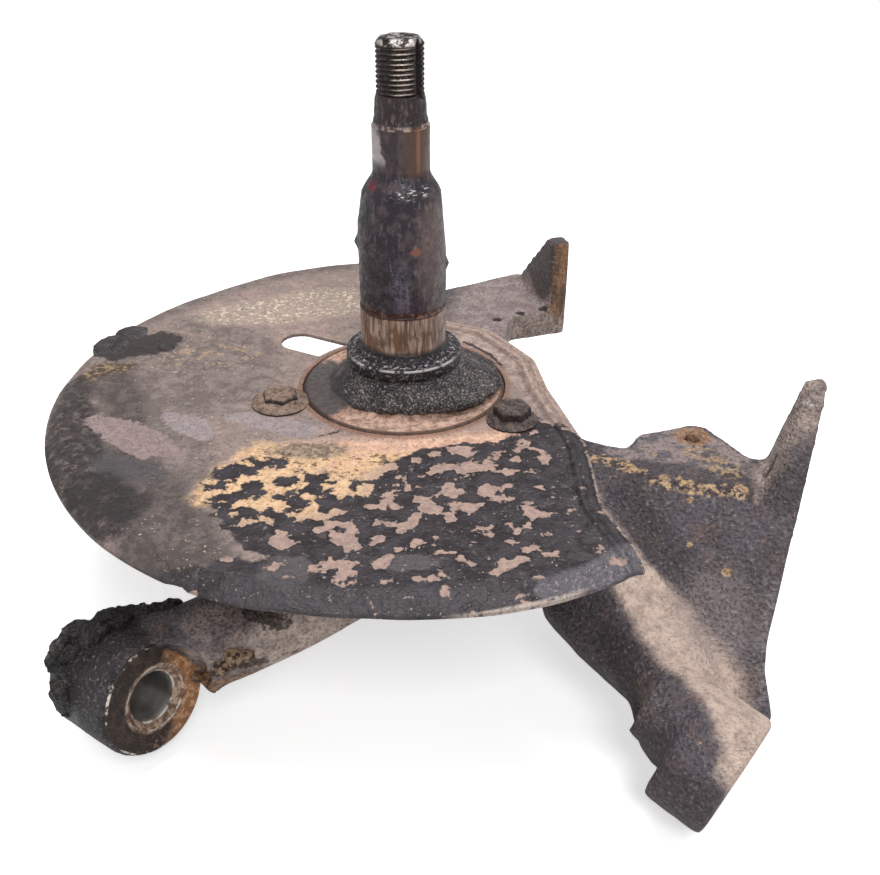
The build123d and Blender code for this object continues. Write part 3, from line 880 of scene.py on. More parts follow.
    def edges(self, f: Finish) -> None:
        """Marks the rim, with a painted highlight on its front edge, the lip along the cut-out, with painted
        shade in its creases, the cracks and the holes.

        Args:
            f: the finish.
        """
        far = f.stored("from_cut")
        behind = f.step(f.along((0, 1, 0)), -40, -24)
        lip = f.both(f.step(far, 0.2, 1), f.step(far, 8.4, 6.6), behind)
        f.lay(f.mottled((0.5, 0.36, 0.3), (0.3, 0.21, 0.18), 2.4, 0.46, 0.64), lip, 0.75)
        # Painted shade in the lip's two creases.
        wave = f.math("ADD", far, f.both(f.grain(5), 1.6))
        for at, wide in ((3.4, 1.1), (9, 1.4)):
            line = f.both(
                f.step(wave, at - wide + 0.8, at + 0.8), f.step(wave, at + wide + 0.8, at + 0.8), behind
            )
            f.lay((0.13, 0.09, 0.08), line, 0.55)
        bright = f.both(f.step(far, 1.3, 0.7), f.cloud(3.4, 0.42, 0.54), f.math("SUBTRACT", 1, behind))
        f.lay((0.42, 0.33, 0.29), bright, 0.7)
        radius = f.radius()
        # Painted highlight along the front of the rim's raw edge.
        raw = f.both(
            f.step(radius, 144.6, 145.4), f.step(f.along((1, 0, 0)), -8, 8),
            f.step(f.along((1, 0, 0)), 60, 52), f.step(f.along((0, -1, 0)), 60, 90)
        )
        f.lay((0.5, 0.41, 0.36), raw, f.cloud(5, 0.36, 0.5), 0.8)
        wobble = f.math("ADD", radius, f.both(f.grain(5), 3))
        hub = f.both(f.step(wobble, 47.6, 45.4), 0.7)
        f.lay((0.25, 0.125, 0.08), hub)
        crack = f.any_of(
            f.strip(((-24, -37, -2, 0.9), (-35, -42, -2, 0.5)), 0.3, 1.4, 3),
            f.strip(((-39, -18, -2, 0.6), (-31, -30, -2, 0.9), (-24, -36, -2, 0.6)), 0.3, 1.4, 3),
            f.strip(((28, 41, -2, 0.9), (39, 27, -2, 1.4), (45, 8, -2, 0.6)), 0.3, 1.2, 4)
        )
        f.lay((0.035, 0.022, 0.018), crack, 0.9)
        seams = f.cloud(1.2, 0.46, 0.3, True)
        f.lay((0.05, 0.036, 0.034), seams, 0.5)


@dataclass(frozen=True)
class BoltSteel:
    """Rusty, worn screw steel."""

    name: str = "bolt_steel"
    brown: Colour = (0.05, 0.038, 0.036)
    rust: Colour = (0.125, 0.09, 0.078)
    worn: Colour = (0.42, 0.34, 0.31)

    def build(self) -> bpy.types.Material:
        """Makes the material.

        Returns:
            The material.
        """
        f = Finish(self.name, 0.35)
        f.base = f.mottled(self.brown, self.rust, 3.4, 0.42, 0.62)
        left = f.near((-51.1, -13.1, 2), (14, 14, 8), 0.1, 0.2, 5)
        top = f.step(f.facing((0, 0, 1)), 0.6, 0.9)
        f.lay(f.mottled((0.19, 0.125, 0.092), (0.31, 0.215, 0.165), 3.4, 0.42, 0.6), left, top, 0.85)
        f.lay(self.worn, f.cloud(1.2, 0.62, 0.7), 0.35)
        f.lay((0.02, 0.016, 0.016), f.cloud(1.7, 0.44, 0.32), 0.7)
        # Painted shade on the sides of the heads and flanges.
        shaded_sides = f.step(f.facing((0, 0, 1)), 0.55, 0.2)
        f.lay((0.028, 0.022, 0.022), shaded_sides, 0.7)
        return f.finish(f.level(0.5, 0.85, f.grain(2.4)), 0.1, f.grain(1.7), 0.8)


@dataclass(frozen=True)
class MachinedEye:
    """Face and bore of the steering eye: brown oil, orange rust and a polished bore."""

    name: str = "machined_eye"
    centre: Point = EYE_CENTRE
    axis: Point = EYE_AXIS

    def build(self) -> bpy.types.Material:
        """Makes the material.

        Returns:
            The material.
        """
        f = Finish(self.name, 0.45)
        shifted = f.stretched(tuple(-c for c in self.centre), (1, 1, 1))
        cross = f.vector("CROSS_PRODUCT", shifted, Vector(self.axis).normalized())
        out = f.vector("LENGTH", cross, out="Value")
        f.base = f.mottled((0.018, 0.01, 0.007), (0.055, 0.031, 0.02), 3.4, 0.42, 0.66)
        side = f.strip(((-78, -106, -52, 9), (-76, -104, -70, 12), (-84, -113, -82, 7)), 4, 5, 6)
        orange = f.mottled((0.34, 0.145, 0.06), (0.64, 0.37, 0.205), 2.4, 0.46, 0.64)
        f.lay(orange, side, 0.85)
        low = f.near((-90, -119, -84), (16, 16, 7), 0.3, 0.3, 4)
        f.lay((0.2, 0.125, 0.085), low, f.cloud(1.7, 0.48, 0.62), 0.8)
        ring = f.both(f.step(out, 13.6, 12.6), f.step(out, 9.2, 9.7))
        f.lay(f.mottled((0.13, 0.07, 0.045), (0.42, 0.3, 0.22), 2.4, 0.42, 0.6), ring, 0.9)
        # Painted highlights on the two edges of the mouth's ring.
        for at in (12.2, 9.6):
            line = f.both(f.step(out, at - 0.5, at - 0.15), f.step(out, at + 0.5, at + 0.15))
            f.lay((0.72, 0.66, 0.6), line, f.cloud(5, 0.44, 0.6), 0.85)
        inside = f.step(out, 9.5, 9.2)
        polished = f.coat(
            (0.26, 0.245, 0.235), (0.52, 0.495, 0.47), f.step(f.streak(16, 2, 0.5, (1, 1, 2.2)), 0.38, 0.62)
        )
        f.lay(polished, inside)
        rim = f.both(f.step(out, 20, 20.5), f.step(f.along((0.55, 0.75, -0.3)), -108, -118))
        f.lay((0.7, 0.62, 0.55), rim, f.cloud(7, 0.5, 0.6))
        height = f.math("ADD", f.both(f.math("SINE", f.both(out, 5)), 0.05), f.grain(1.2))
        height = f.level(height, f.both(height, 0.02), inside)
        rough = f.level(0.6, 0.27, inside)
        return f.finish(rough, f.both(inside, 0.75), height, 0.7)


# ---------------------------------------------------------------- shaping by hand


class Bench:
    """Edit-mode work that every piece needs."""

    @staticmethod
    def only(piece: bpy.types.Object) -> None:
        """Makes one object selected and active, in object mode.

        Args:
            piece: the object.
        """
        if bpy.context.object and bpy.context.object.mode != "OBJECT":
            bpy.ops.object.mode_set(mode="OBJECT")
        bpy.ops.object.select_all(action="DESELECT")
        piece.select_set(True)
        bpy.context.view_layer.objects.active = piece

    @staticmethod
    def copy_of(node: str, name: str) -> bpy.types.Object:
        """Copies a CAD node's mesh, with its doubles merged.

        Args:
            node: the CAD node.
            name: the copy's name.

        Returns:
            The new object.
        """
        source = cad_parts[node]
        piece = bpy.data.objects.new(name, source.data.copy())
        bpy.context.scene.collection.objects.link(piece)
        piece.data.materials.clear()
        with Bench.edit(piece):
            bpy.ops.mesh.remove_doubles(threshold=WELD)
        return piece

    @staticmethod
    @contextmanager
    def edit(piece: bpy.types.Object) -> Iterator[None]:
        """Holds one object in edit mode, with its vertices selected.

        Args:
            piece: the object.

        Returns:
            The context of a with statement.
        """
        Bench.only(piece)
        bpy.ops.object.mode_set(mode="EDIT")
        bpy.ops.mesh.select_mode(type="VERT")
        bpy.ops.mesh.select_all(action="SELECT")
        yield
        bpy.ops.object.mode_set(mode="OBJECT")

    @staticmethod
    def join(piece: bpy.types.Object, *others: bpy.types.Object) -> bpy.types.Object:
        """Joins other objects into the first, which it returns.

        Args:
            piece: the object.
            others: the ones that go into it.

        Returns:
            The first object.
        """
        Bench.only(piece)
        for other in others:
            other.select_set(True)
        bpy.ops.object.join()
        return piece

    @staticmethod
    def blob(centre: Point, reach: Point) -> bpy.types.Object:
        """Makes a ball that reaches so many millimetres from its centre along each axis.

        Args:
            centre: its middle in millimetres.
            reach: half its size along each axis.

        Returns:
            The ball.
        """
        bpy.ops.mesh.primitive_ico_sphere_add(subdivisions=4, radius=1, location=(0, 0, 0))
        ball = bpy.context.object
        size = Matrix.Diagonal((*[r * MM for r in reach], 1))
        ball.data.transform(Matrix.Translation(Vector(centre) * MM) @ size)
        return ball

    @staticmethod
    def pick(piece: bpy.types.Object, test: Callable[[Vector], bool]) -> None:
        """Selects the faces whose middle passes a test, and enters edit mode.

        Args:
            piece: the object.
            test: takes a face's middle in millimetres.
        """
        Bench.only(piece)
        bpy.ops.object.mode_set(mode="EDIT")
        bpy.ops.mesh.select_mode(type="FACE")
        bpy.ops.mesh.select_all(action="DESELECT")
        bpy.ops.object.mode_set(mode="OBJECT")
        for face in piece.data.polygons:
            face.select = test(face.center * 1000)
        bpy.ops.object.mode_set(mode="EDIT")

    @staticmethod
    def apply(piece: bpy.types.Object, kind: str, **settings: object) -> None:
        """Adds one modifier and applies it.

        Args:
            piece: the object.
            kind: the modifier's type.
            settings: its settings.
        """
        Bench.only(piece)
        modifier = piece.modifiers.new(kind.lower(), kind)
        for key, value in settings.items():
            setattr(modifier, key, value)
        bpy.ops.object.modifier_apply(modifier=modifier.name)

    @staticmethod
    def spun(name: str, profile: Sequence[tuple[float, float]], steps: int) -> bpy.types.Object:
        """Spins a profile of (radius, height) in millimetres round the spindle axis.

        Args:
            name: the object's name.
            profile: the profile's points in order.
            steps: how many steps make the turn.

        Returns:
            The turned object.
        """
        bpy.ops.mesh.primitive_plane_add(size=0.01, location=(0, 0, 0))
        piece = bpy.context.object
        piece.name = name
        with Bench.edit(piece):
            bpy.ops.mesh.delete(type="VERT")
        points = [(r * MM, 0, z * MM) for r, z in profile]
        piece.data.from_pydata(points, [(i, i + 1) for i in range(len(points) - 1)], [])
        with Bench.edit(piece):
            bpy.ops.mesh.spin(steps=steps, angle=2 * math.pi, center=(0, 0, 0), axis=(0, 0, 1))
            bpy.ops.mesh.select_all(action="SELECT")
            bpy.ops.mesh.remove_doubles(threshold=2 * WELD)
            bpy.ops.mesh.normals_make_consistent(inside=False)
        return piece

    @staticmethod
    def shape(piece: bpy.types.Object, move: Callable[[Vector], Vector]) -> None:
        """Moves each vertex by a rule.

        Args:
            piece: the object.
            move: takes a place in millimetres and returns the new one.
        """
        for vertex in piece.data.vertices:
            vertex.co = move(vertex.co * 1000) * MM
        piece.data.update()

    @staticmethod
    def smooth(piece: bpy.types.Object, degrees: float = 40) -> None:
        """Shades a piece smooth, but for edges sharper than an angle."""
        Bench.only(piece)
        bpy.ops.object.shade_smooth_by_angle(angle=math.radians(degrees))

    @staticmethod
    def fit(piece: bpy.types.Object, finish: object, slot: Slot, *nodes: Node) -> None:
        """Gives a piece its finish and its body, and hides the CAD nodes that it stands for.

        Args:
            piece: the object.
            finish: the finish to build.
            slot: the record's slot; not used.
            nodes: the CAD nodes that it replaces.
        """
        piece.data.materials.clear()
        piece.data.materials.append(finish.build())
        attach(piece, "root")
        if nodes:
            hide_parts(*[node.value for node in nodes])
        LOG.info("%s: %d faces", piece.name, len(piece.data.polygons))


def ripple(place: Vector, size: float, seed: float = 0) -> float:
    """Soft noise from -1 to 1.

    Args:
        place: a point in millimetres.
        size: size of the waves.
        seed: picks another pattern.

    Returns:
        The noise.
    """
    return noise.noise(place / size + Vector((seed, seed * 0.7, -seed)))


def polar(degrees: float) -> tuple[float, float]:
    """Place on a circle of radius 1 in the plan, at an angle from x."""
    return math.cos(math.radians(degrees)), math.sin(math.radians(degrees))


def turn_gap(first: float, second: float) -> float:
    """Smallest angle between two directions, in degrees."""
    return abs((first - second + 180) % 360 - 180)


# ---------------------------------------------------------------- the pieces


@dataclass
class Forging:
    """Arms, web, bosses and caliper supports, with a forging's soft edges."""

    grain_size: float = 1.55
    flange_radius: float = 42.6
    cut_height: float = -3.2
    necks: tuple[tuple[Point, float], ...] = (
        ((88, -148, -52), 20), ((94, -140, -42), 16), ((141, -58, -10), 12), ((-82, -96, -46), 16),
        ((80, -132, -50), 15), ((-73.5, -111, -63.6), 6.5)
    )
    fills: tuple[tuple[Point, Point], ...] = (
        ((87.5, -133, -52), (8, 14, 9)), ((88, -140, -62), (8, 10, 10)),
        ((-70.5, -114.6, -62.2), (3, 3, 2.8)), ((-73, -112.4, -63.4), (2.9, 2.9, 2.9)),
        ((-75.2, -109.4, -64.6), (2.7, 2.7, 3))
    )

    def build(self) -> bpy.types.Object:
        """Makes the forging from the CAD shape, without the turned spindle.

        Returns:
            The piece.
        """
        piece = Bench.copy_of(Node.KNUCKLE.value, "forging")
        reach = self.flange_radius + 0.4
        with Bench.edit(piece):
            bpy.ops.mesh.bisect(plane_co=(0, 0, self.cut_height * MM), plane_no=(0, 0, 1))
        Bench.pick(piece, lambda c: c.z > self.cut_height - 0.01 and math.hypot(c.x, c.y) < reach)
        bpy.ops.mesh.delete(type="FACE")
        bpy.ops.mesh.select_mode(type="VERT")
        bpy.ops.mesh.select_all(action="DESELECT")
        bpy.ops.mesh.select_non_manifold()
        bpy.ops.mesh.edge_face_add()
        bpy.ops.object.mode_set(mode="OBJECT")
        for centre, reach in self.fills:
            Bench.join(piece, Bench.blob(centre, reach))
        Bench.apply(piece, "REMESH", mode="VOXEL", voxel_size=self.grain_size * MM, adaptivity=0)
        self.soften(piece)
        Bench.smooth(piece, 60)
        return piece

    def soften(self, piece: bpy.types.Object) -> None:
        """Rounds the raw edges, but keeps the machined ones crisp.

        Args:
            piece: the forging.
        """
        crisp = ((Vector(EYE_CENTRE), 24), (Vector((82, 116, 0)), 20), (Vector((118, -28, -12)), 7))
        raw = piece.vertex_groups.new(name="raw")
        for vertex in piece.data.vertices:
            place = vertex.co * 1000
            weight = 1
            for centre, reach in crisp:
                near = (place - centre).length / reach
                weight = min(weight, max(0.25, min(1, (near - 0.7) * 3)))
            raw.add([vertex.index], weight, "REPLACE")
        Bench.apply(piece, "SMOOTH", factor=0.5, iterations=9, vertex_group="raw")
        neck = piece.vertex_groups.new(name="neck")
        for vertex in piece.data.vertices:
            near = min((vertex.co * 1000 - Vector(at)).length / reach for at, reach in self.necks)
            if near < 1:
                neck.add([vertex.index], min(1, 2.2 * (1 - near)), "REPLACE")
        Bench.apply(piece, "SMOOTH", factor=0.6, iterations=45, vertex_group="neck")

        def hammered(place: Vector) -> Vector:
            """Lifts the surface by a low forging scale."""
            lift = 0.28 * ripple(place, 13) + 0.16 * ripple(place, 4.5, 3)
            return place + Vector((0.3, 0.3, 1)).normalized() * lift

        Bench.shape(piece, hammered)
        centre = Vector(EYE_CENTRE)
        axis = Vector(EYE_AXIS).normalized()

        def reamed(place: Vector) -> Vector:
            """Keeps the eye's bore clear of its lining.

            Args:
                place: a point in millimetres.

            Returns:
                Where it goes.
            """
            away = place - centre
            deep = away.dot(axis)
            out = away - axis * deep
            clear = 11.4 + 0.06 * deep
            if -34.5 < deep < 1.5 and 0.5 < out.length < clear:
                return centre + axis * min(deep, -0.9) + out.normalized() * clear
            return place

        Bench.shape(piece, reamed)


@dataclass
class Spindle:
    """Turned spindle with its flange, seats, thread and smeared grease."""

    pitch: float = 1.75
    thread_start: float = 120.4
    thread_end: float = 137.2
    thread_depth: float = 0.75
    keyway_angle: float = -38
    keyway_width: float = 3.6
    steps: int = 168

    def profile(self) -> list[tuple[float, float]]:
        """The turned outline, from the flange's edge to the tip.

        Returns:
            Points of (radius, height) in millimetres.
        """
        corners = [
            (0.01, -8), (42.2, -8), (42.4, -1.5), (42.2, -0.8), (41.4, -0.1), (40.6, 0), (33.2, 0.1),
            (21.2, 11.6), (22.6, 12), (23.6, 12.6), (23.8, 13.2), (23.8, 16.5), (23.4, 17.15), (22, 17.2),
            (18.9, 17.4), (17.5, 20), (17.46, 37), (16.9, 37.3), (16.9, 38.2), (17.2, 38.8), (17.2, 54),
            (16.7, 66), (14.9, 83.5), (14, 85.4), (11.6, 89.6), (11.1, 91), (10.99, 92), (10.99, 108.8),
            (10.4, 109.6), (9.6, 112), (9.2, 118.6), (9, 120), (9, 137.6), (8.4, 138.6), (7.3, 139.9),
            (6.4, 140), (0.01, 139.7)
        ]
        points = [corners[0]]
        for (r0, z0), (r1, z1) in zip(corners, corners[1:]):
            threaded = self.thread_start - 1 < max(z0, z1) < self.thread_end + 1 and abs(z1 - z0) > 5
            size = 0.22 if threaded else 1.3
            count = max(1, round(math.hypot(r1 - r0, z1 - z0) / size))
            points += [(r0 + (r1 - r0) * i / count, z0 + (z1 - z0) * i / count) for i in range(1, count + 1)]
        return points

    def build(self) -> bpy.types.Object:
        """Makes the spindle.

        Returns:
            The piece.
        """
        piece = Bench.spun("spindle", self.profile(), self.steps)
        Bench.shape(piece, self.worn)
        Bench.smooth(piece, 50)
        return piece

    def worn(self, place: Vector) -> Vector:
        """Cuts the thread and keyway and lays the grease on the body.

        Args:
            place: a point of the plain turned shape.

        Returns:
            Where it goes.
        """
        radius = math.hypot(place.x, place.y)
        if radius < 0.5:
            return place
        angle = math.degrees(math.atan2(place.y, place.x))
        z = place.z
        grown = radius
        if self.thread_start < z < self.thread_end and radius > 8:
            phase = (z - angle / 360 * self.pitch) / self.pitch % 1
            grown -= self.thread_depth * abs(2 * phase - 1) ** 1.3
            grown -= 0.12 * max(0, ripple(place, 2, 5))
        if z > 119 and radius > 6:
            across = math.radians(turn_gap(angle, self.keyway_angle)) * radius
            if across < self.keyway_width / 2:
                grown = min(grown, 7.1)
        if 39.5 < z < 90:
            fade = min(1, (z - 39.5) / 5, (90 - z) / 3)
            left = max(0, 1 - turn_gap(angle, 195) / 70)
            lump = 0.22 * ripple(place, 9) + 0.14 * ripple(place, 3, 2)
            bulge = 1.3 * left * max(0, 1 - abs(z - 72) / 16)
            grown += fade * (0.2 + lump + bulge)
            for nub_z, nub_angle, size in ((63.5, 183, 1.4), (54, -2, 1.2), (86, 212, 1.7)):
                far = math.hypot(z - nub_z, math.radians(turn_gap(angle, nub_angle)) * radius) / 2.4
                grown += size * math.exp(-far * far * 1.6)
        if 109.6 < z < 119.8:
            grown += 0.25 + 0.3 * ripple(place, 3, 7)
        if 11.9 < z < 17.3 and radius > 20:
            grown += 0.1 * ripple(place, 4, 1)
        rise = z
        if 16.5 < z < 18 and 18.5 < radius < 22.8:
            rise += 0.55 * math.exp(-((radius - 20.8) / 0.9) ** 2) * (0.8 + 1.2 * ripple(place, 1.9, 8))
        if -0.5 < z < 3 and radius < 41.5:
            rise += 0.2 * ripple(place, 5, 4)
        if z > 138.8:
            rise -= 0.5 * max(0, ripple(place, 3.5, 6))
        factor = grown / radius
        return Vector((place.x * factor, place.y * factor, rise))


@dataclass
class GreaseCake:
    """Dried grease that covers the flare, with a wavy lip that overhangs the flange."""

    inner: float = 20.6
    steps: int = 240
    reaches: tuple[tuple[float, float, float], ...] = (
        (5, 6.6, 36), (-40, 2.4, 20), (-95, -3, 34), (-150, -2, 26), (172, -8.5, 36), (90, 1, 30)
    )

    def build(self) -> bpy.types.Object:
        """Makes the cake.

        Returns:
            The piece.
        """
        rows = [(self.inner, 11.6), (22.4, 12.3)]
        rows += [(22.4 + 12 * t, 12.3 - 9.3 * t) for t in (0.2, 0.4, 0.6, 0.8, 1)]
        rows += [(34.7, 2.1), (34.2, 1.3), (32.6, 0.9), (29, 0.6)]
        points = [rows[0]]
        for (r0, z0), (r1, z1) in zip(rows, rows[1:]):
            points += [(r0 + (r1 - r0) * i / 4, z0 + (z1 - z0) * i / 4) for i in (1, 2, 3, 4)]
        piece = Bench.spun("grease_cake", points, self.steps)

        def caked(place: Vector) -> Vector:
            """Draws the lip out and in, and roughens the top.

            Args:
                place: a point in millimetres.

            Returns:
                Where it goes.
            """
            radius = math.hypot(place.x, place.y)
            angle = math.degrees(math.atan2(place.y, place.x))
            out = max(0, (radius - 22.4) / 12)
            around = Vector((place.x, place.y, 0)).normalized() * 30
            lip = 2 * ripple(around, 10) + 1.2 * ripple(around, 4, 2)
            reach = 0
            for at, size, wide in self.reaches:
                reach += size * math.exp(-(turn_gap(angle, at) / wide) ** 2)
            grown = radius + out * (lip + reach)
            lift = min(1, 2 * out) * (0.7 * ripple(place, 6, 4) + 0.6 * ripple(place, 2.4, 5))
            front = math.exp(-(turn_gap(angle, -80) / 50) ** 2)
            lift += 2.4 * front * out * (1 if place.z > 2.4 else 0.45)
            factor = grown / radius
            return Vector((place.x * factor, place.y * factor, max(0.15, place.z + lift)))

        Bench.shape(piece, caked)
        Bench.smooth(piece, 70)
        return piece


@dataclass
class DustShield:
    """Pressed sheet with a drooping rim, a stepped lip along the cut-out, slot and screw holes."""

    radius: float = 146.3
    thickness: float = 1.5
    top: float = SHEET_TOP
    hole: float = 42.9
    crease: float = 139.6
    droop: float = 3.8
    slot_centre: tuple[float, float] = (-47.5, 43.3)
    slot_radius: float = 8.4
    slot_angle: float = -30
    slot_limit: float = 47
    screw_circle: float = SCREW_CIRCLE
    screw_hole: float = 4.5
    screw_angles: tuple[float, ...] = SCREW_ANGLES
    cut: tuple[tuple[float, float], ...] = (
        (84, -140), (69.6, -92), (70.4, -50), (60.8, -4), (58, 24), (41, 55), (6, 73), (-8, 92), (-12, 150)
    )
    dents: tuple[tuple[float, float, float], ...] = (
        (0.008, -126, 16), (-0.016, -94, 13), (-0.014, 127, 15), (-0.012, -120.5, 1)
    )
    edge: list[Vector] = field(default_factory=list)

    def rounded_cut(self, rounding: float = 14) -> list[Vector]:
        """The cut edge with its corners rounded by arcs.

        Args:
            rounding: radius of the arcs.

        Returns:
            Points along the edge.
        """
        corners = [Vector((x, y)) for x, y in self.cut]
        line = [corners[0]]
        for before, at, after in zip(corners, corners[1:], corners[2:]):
            back = (before - at).normalized()
            ahead = (after - at).normalized()
            half = back.angle(ahead) / 2
            tangent = rounding / math.tan(half)
            start, end = at + back * tangent, at + ahead * tangent
            line += [start.lerp(at, t).lerp(at.lerp(end, t), t) for t in (0, 0.2, 0.4, 0.6, 0.8, 1)]
        return line + [corners[-1]]

    def build(self) -> bpy.types.Object:
        """Makes the sheet.

        Returns:
            The piece.
        """
        self.edge = self.rounded_cut()
        radii = [self.hole + (self.crease - self.hole) * i / 46 for i in range(47)]
        radii += [self.crease + (self.radius - self.crease) * i / 8 for i in range(1, 9)]
        upper = [(r, self.top) for r in radii]
        lower = [(r, self.top - self.thickness) for r in reversed(radii)]
        piece = Bench.spun("shield_sheet", upper + lower + [upper[0]], 300)
        self.trim(piece)
        marks = piece.data.attributes.new("from_cut", "FLOAT", "POINT")
        for vertex, mark in zip(piece.data.vertices, marks.data):
            place = vertex.co * 1000
            near = place.x > -46 and place.x * 0.64 + place.y * 0.77 > -90
            mark.value = min(30, self.from_edge(place)) if near else 30
        for vertex, mark in zip(piece.data.vertices, marks.data):
            vertex.co = self.pressed(vertex.co * 1000, mark.value) * MM
        piece.data.update()
        Bench.smooth(piece, 35)
        return piece

    def prism(self, name: str, outline: Sequence[Sequence[float]]) -> bpy.types.Object:
        """A cutter with a plan in millimetres that runs through the sheet.

        Args:
            name: its name.
            outline: its corners.

        Returns:
            The cutter.
        """
        bpy.ops.mesh.primitive_circle_add(
            vertices=len(outline), radius=0.1, fill_type="NGON", location=(0, 0, 0)
        )
        cutter = bpy.context.object
        cutter.name = name
        for vertex, (x, y) in zip(cutter.data.vertices, outline):
            vertex.co = Vector((x, y, -20)) * MM
        with Bench.edit(cutter):
            bpy.ops.mesh.extrude_region_move(TRANSFORM_OT_translate={"value": (0, 0, 40 * MM)})
            bpy.ops.mesh.select_all(action="SELECT")
            bpy.ops.mesh.normals_make_consistent(inside=False)
        return cutter

    def trim(self, piece: bpy.types.Object) -> None:
        """Cuts the sheet back on the caliper's side and pierces it.

        Args:
            piece: the full disc.
        """
        plans = [[*self.edge, (-12, 200), (200, 200), (200, -140)]]
        run = Vector(polar(self.slot_angle))
        side = Vector((-run.y, run.x))
        centre = Vector(self.slot_centre)
        r = self.slot_radius
        turns = [math.pi / 2 + math.pi * i / 16 for i in range(17)]
        slot = [centre + run * math.cos(a) * r + side * math.sin(a) * r for a in turns]
        far = []
        for across in (-1, -0.6, -0.2, 0.2, 0.6, 1):
            at = centre + side * across * self.slot_radius
            step = 0
            while (at + run * step).length > self.slot_limit and step < 40:
                step += 0.1
            far.append(at + run * step)
        plans.append(slot + far)
        for angle in self.screw_angles:
            mid = Vector(polar(angle)) * self.screw_circle
            ring = [polar(15 * step) for step in range(24)]
            plans.append([(mid.x + self.screw_hole * x, mid.y + self.screw_hole * y) for x, y in ring])
        for number, plan in enumerate(plans):
            cutter = self.prism(f"cutter_{number}", plan)
            Bench.apply(piece, "BOOLEAN", operation="DIFFERENCE", solver="EXACT", object=cutter)
            bpy.data.objects.remove(cutter)
        with Bench.edit(piece):
            bpy.ops.mesh.remove_doubles(threshold=WELD)

    def from_edge(self, place: Vector) -> float:
        """Distance from the cut edge in millimetres.

        Args:
            place: a point in millimetres.

        Returns:
            The distance.
        """
        flat = Vector((place.x, place.y))
        least = math.inf
        for a, b in zip(self.edge, self.edge[1:]):
            run = b - a
            t = max(0, min(1, (flat - a).dot(run) / max(1e-09, run.length_squared)))
            least = min(least, (flat - a - run * t).length)
        return least

    def pressed(self, place: Vector, far: float) -> Vector:
        """Gives the flat sheet its rim, its stepped lip and its dents.

        Args:
            place: a point of the flat sheet.
            far: its distance from the cut edge.

        Returns:
            Where it goes.
        """
        radius = math.hypot(place.x, place.y)
        angle = math.degrees(math.atan2(place.y, place.x))
        z = place.z
        if radius > self.crease:
            z -= self.droop * (radius - self.crease) / (self.radius - self.crease)
        if far < 14 and radius > self.hole + 3:
            z += 0.8 * math.exp(-((far - 5.8) / 2.4) ** 2) - 0.8 * max(0, 1 - far / 3.6)
        z += 0.8 * max(0, 1 - (radius - self.hole) / 4.5)
        loose = max(0, min(1, (radius - 66) / 30))
        flat = Vector((place.x, place.y, 0))
        z += loose * (0.7 * ripple(flat, 42) + 0.3 * ripple(flat, 15, 2))
        grow = 1
        if radius > 120:
            reach = (radius - 120) / 26.4
            for share, at, wide in self.dents:
                grow += reach * share * math.exp(-((turn_gap(angle, at) / wide) ** 2))
        return Vector((place.x * grow, place.y * grow, z))


@dataclass
class ShieldScrews:
    """Three flange-head screws, one worn low and one with a domed head."""

    circle: float = SCREW_CIRCLE
    seat: float = SHEET_TOP
    angles: tuple[float, ...] = SCREW_ANGLES
    turns: tuple[float, ...] = (12, 25, 5)
    heads: tuple[float, ...] = (2.6, 4.6, 5)
    flanges: tuple[float, ...] = (11.9, 10.4, 10)
    across: float = 13.4

    def one(self, angle: float, head: float, turn: float, flange: float) -> bpy.types.Object:
        """Makes one screw.

        Args:
            angle: its place round the hub, in degrees.
            head: height of its head.
            turn: how far the hexagon is turned, in degrees.
            flange: radius of its flange.

        Returns:
            The screw.
        """
        bpy.ops.mesh.primitive_cylinder_add(
            vertices=6, radius=self.across / math.sqrt(3) * MM, depth=head * MM, location=(0, 0, 0)
        )
        screw = bpy.context.object
        Bench.pick(screw, lambda c: c.z > head / 2 - 0.01)
        bpy.ops.mesh.inset(thickness=1.2 * MM)
        bpy.ops.transform.translate(value=(0, 0, 0.7 * MM))
        Bench.apply(
            screw, "BEVEL", width=1.9 * MM, segments=4, limit_method="ANGLE", angle_limit=math.radians(25)
        )
        Bench.apply(screw, "SUBSURF", levels=1, render_levels=1)
        rot = Matrix.Rotation(math.radians(turn), 4, "Z")
        screw.data.transform(Matrix.Translation((0, 0, (head / 2 + 1.6) * MM)) @ rot)
        rim = [
            (0.02, 0), (flange - 1.1, 0), (flange, 0.35), (flange, 0.8), (flange - 1.2, 1.2), (8.2, 2.2),
            (6.8, 3.1), (0.02, 3.2)
        ]
        Bench.join(screw, Bench.spun("plate", rim, 48))
        x, y = polar(angle)
        at = (x * self.circle * MM, y * self.circle * MM, self.seat * MM)
        screw.data.transform(Matrix.Translation(at))
        return screw

    def build(self) -> bpy.types.Object:
        """Makes the three screws as one piece.

        Returns:
            The piece.
        """
        kinds = zip(self.angles, self.heads, self.turns, self.flanges)
        piece = Bench.join(*[self.one(*kind) for kind in kinds])
        piece.name = "shield_screws"

        def battered(place: Vector) -> Vector:
            """Wears the heads and flanges unevenly."""
            return place + Vector((ripple(place, 3), ripple(place, 3, 2), ripple(place, 2.6, 4))) * 0.16

        Bench.shape(piece, battered)
        Bench.smooth(piece, 45)
        return piece


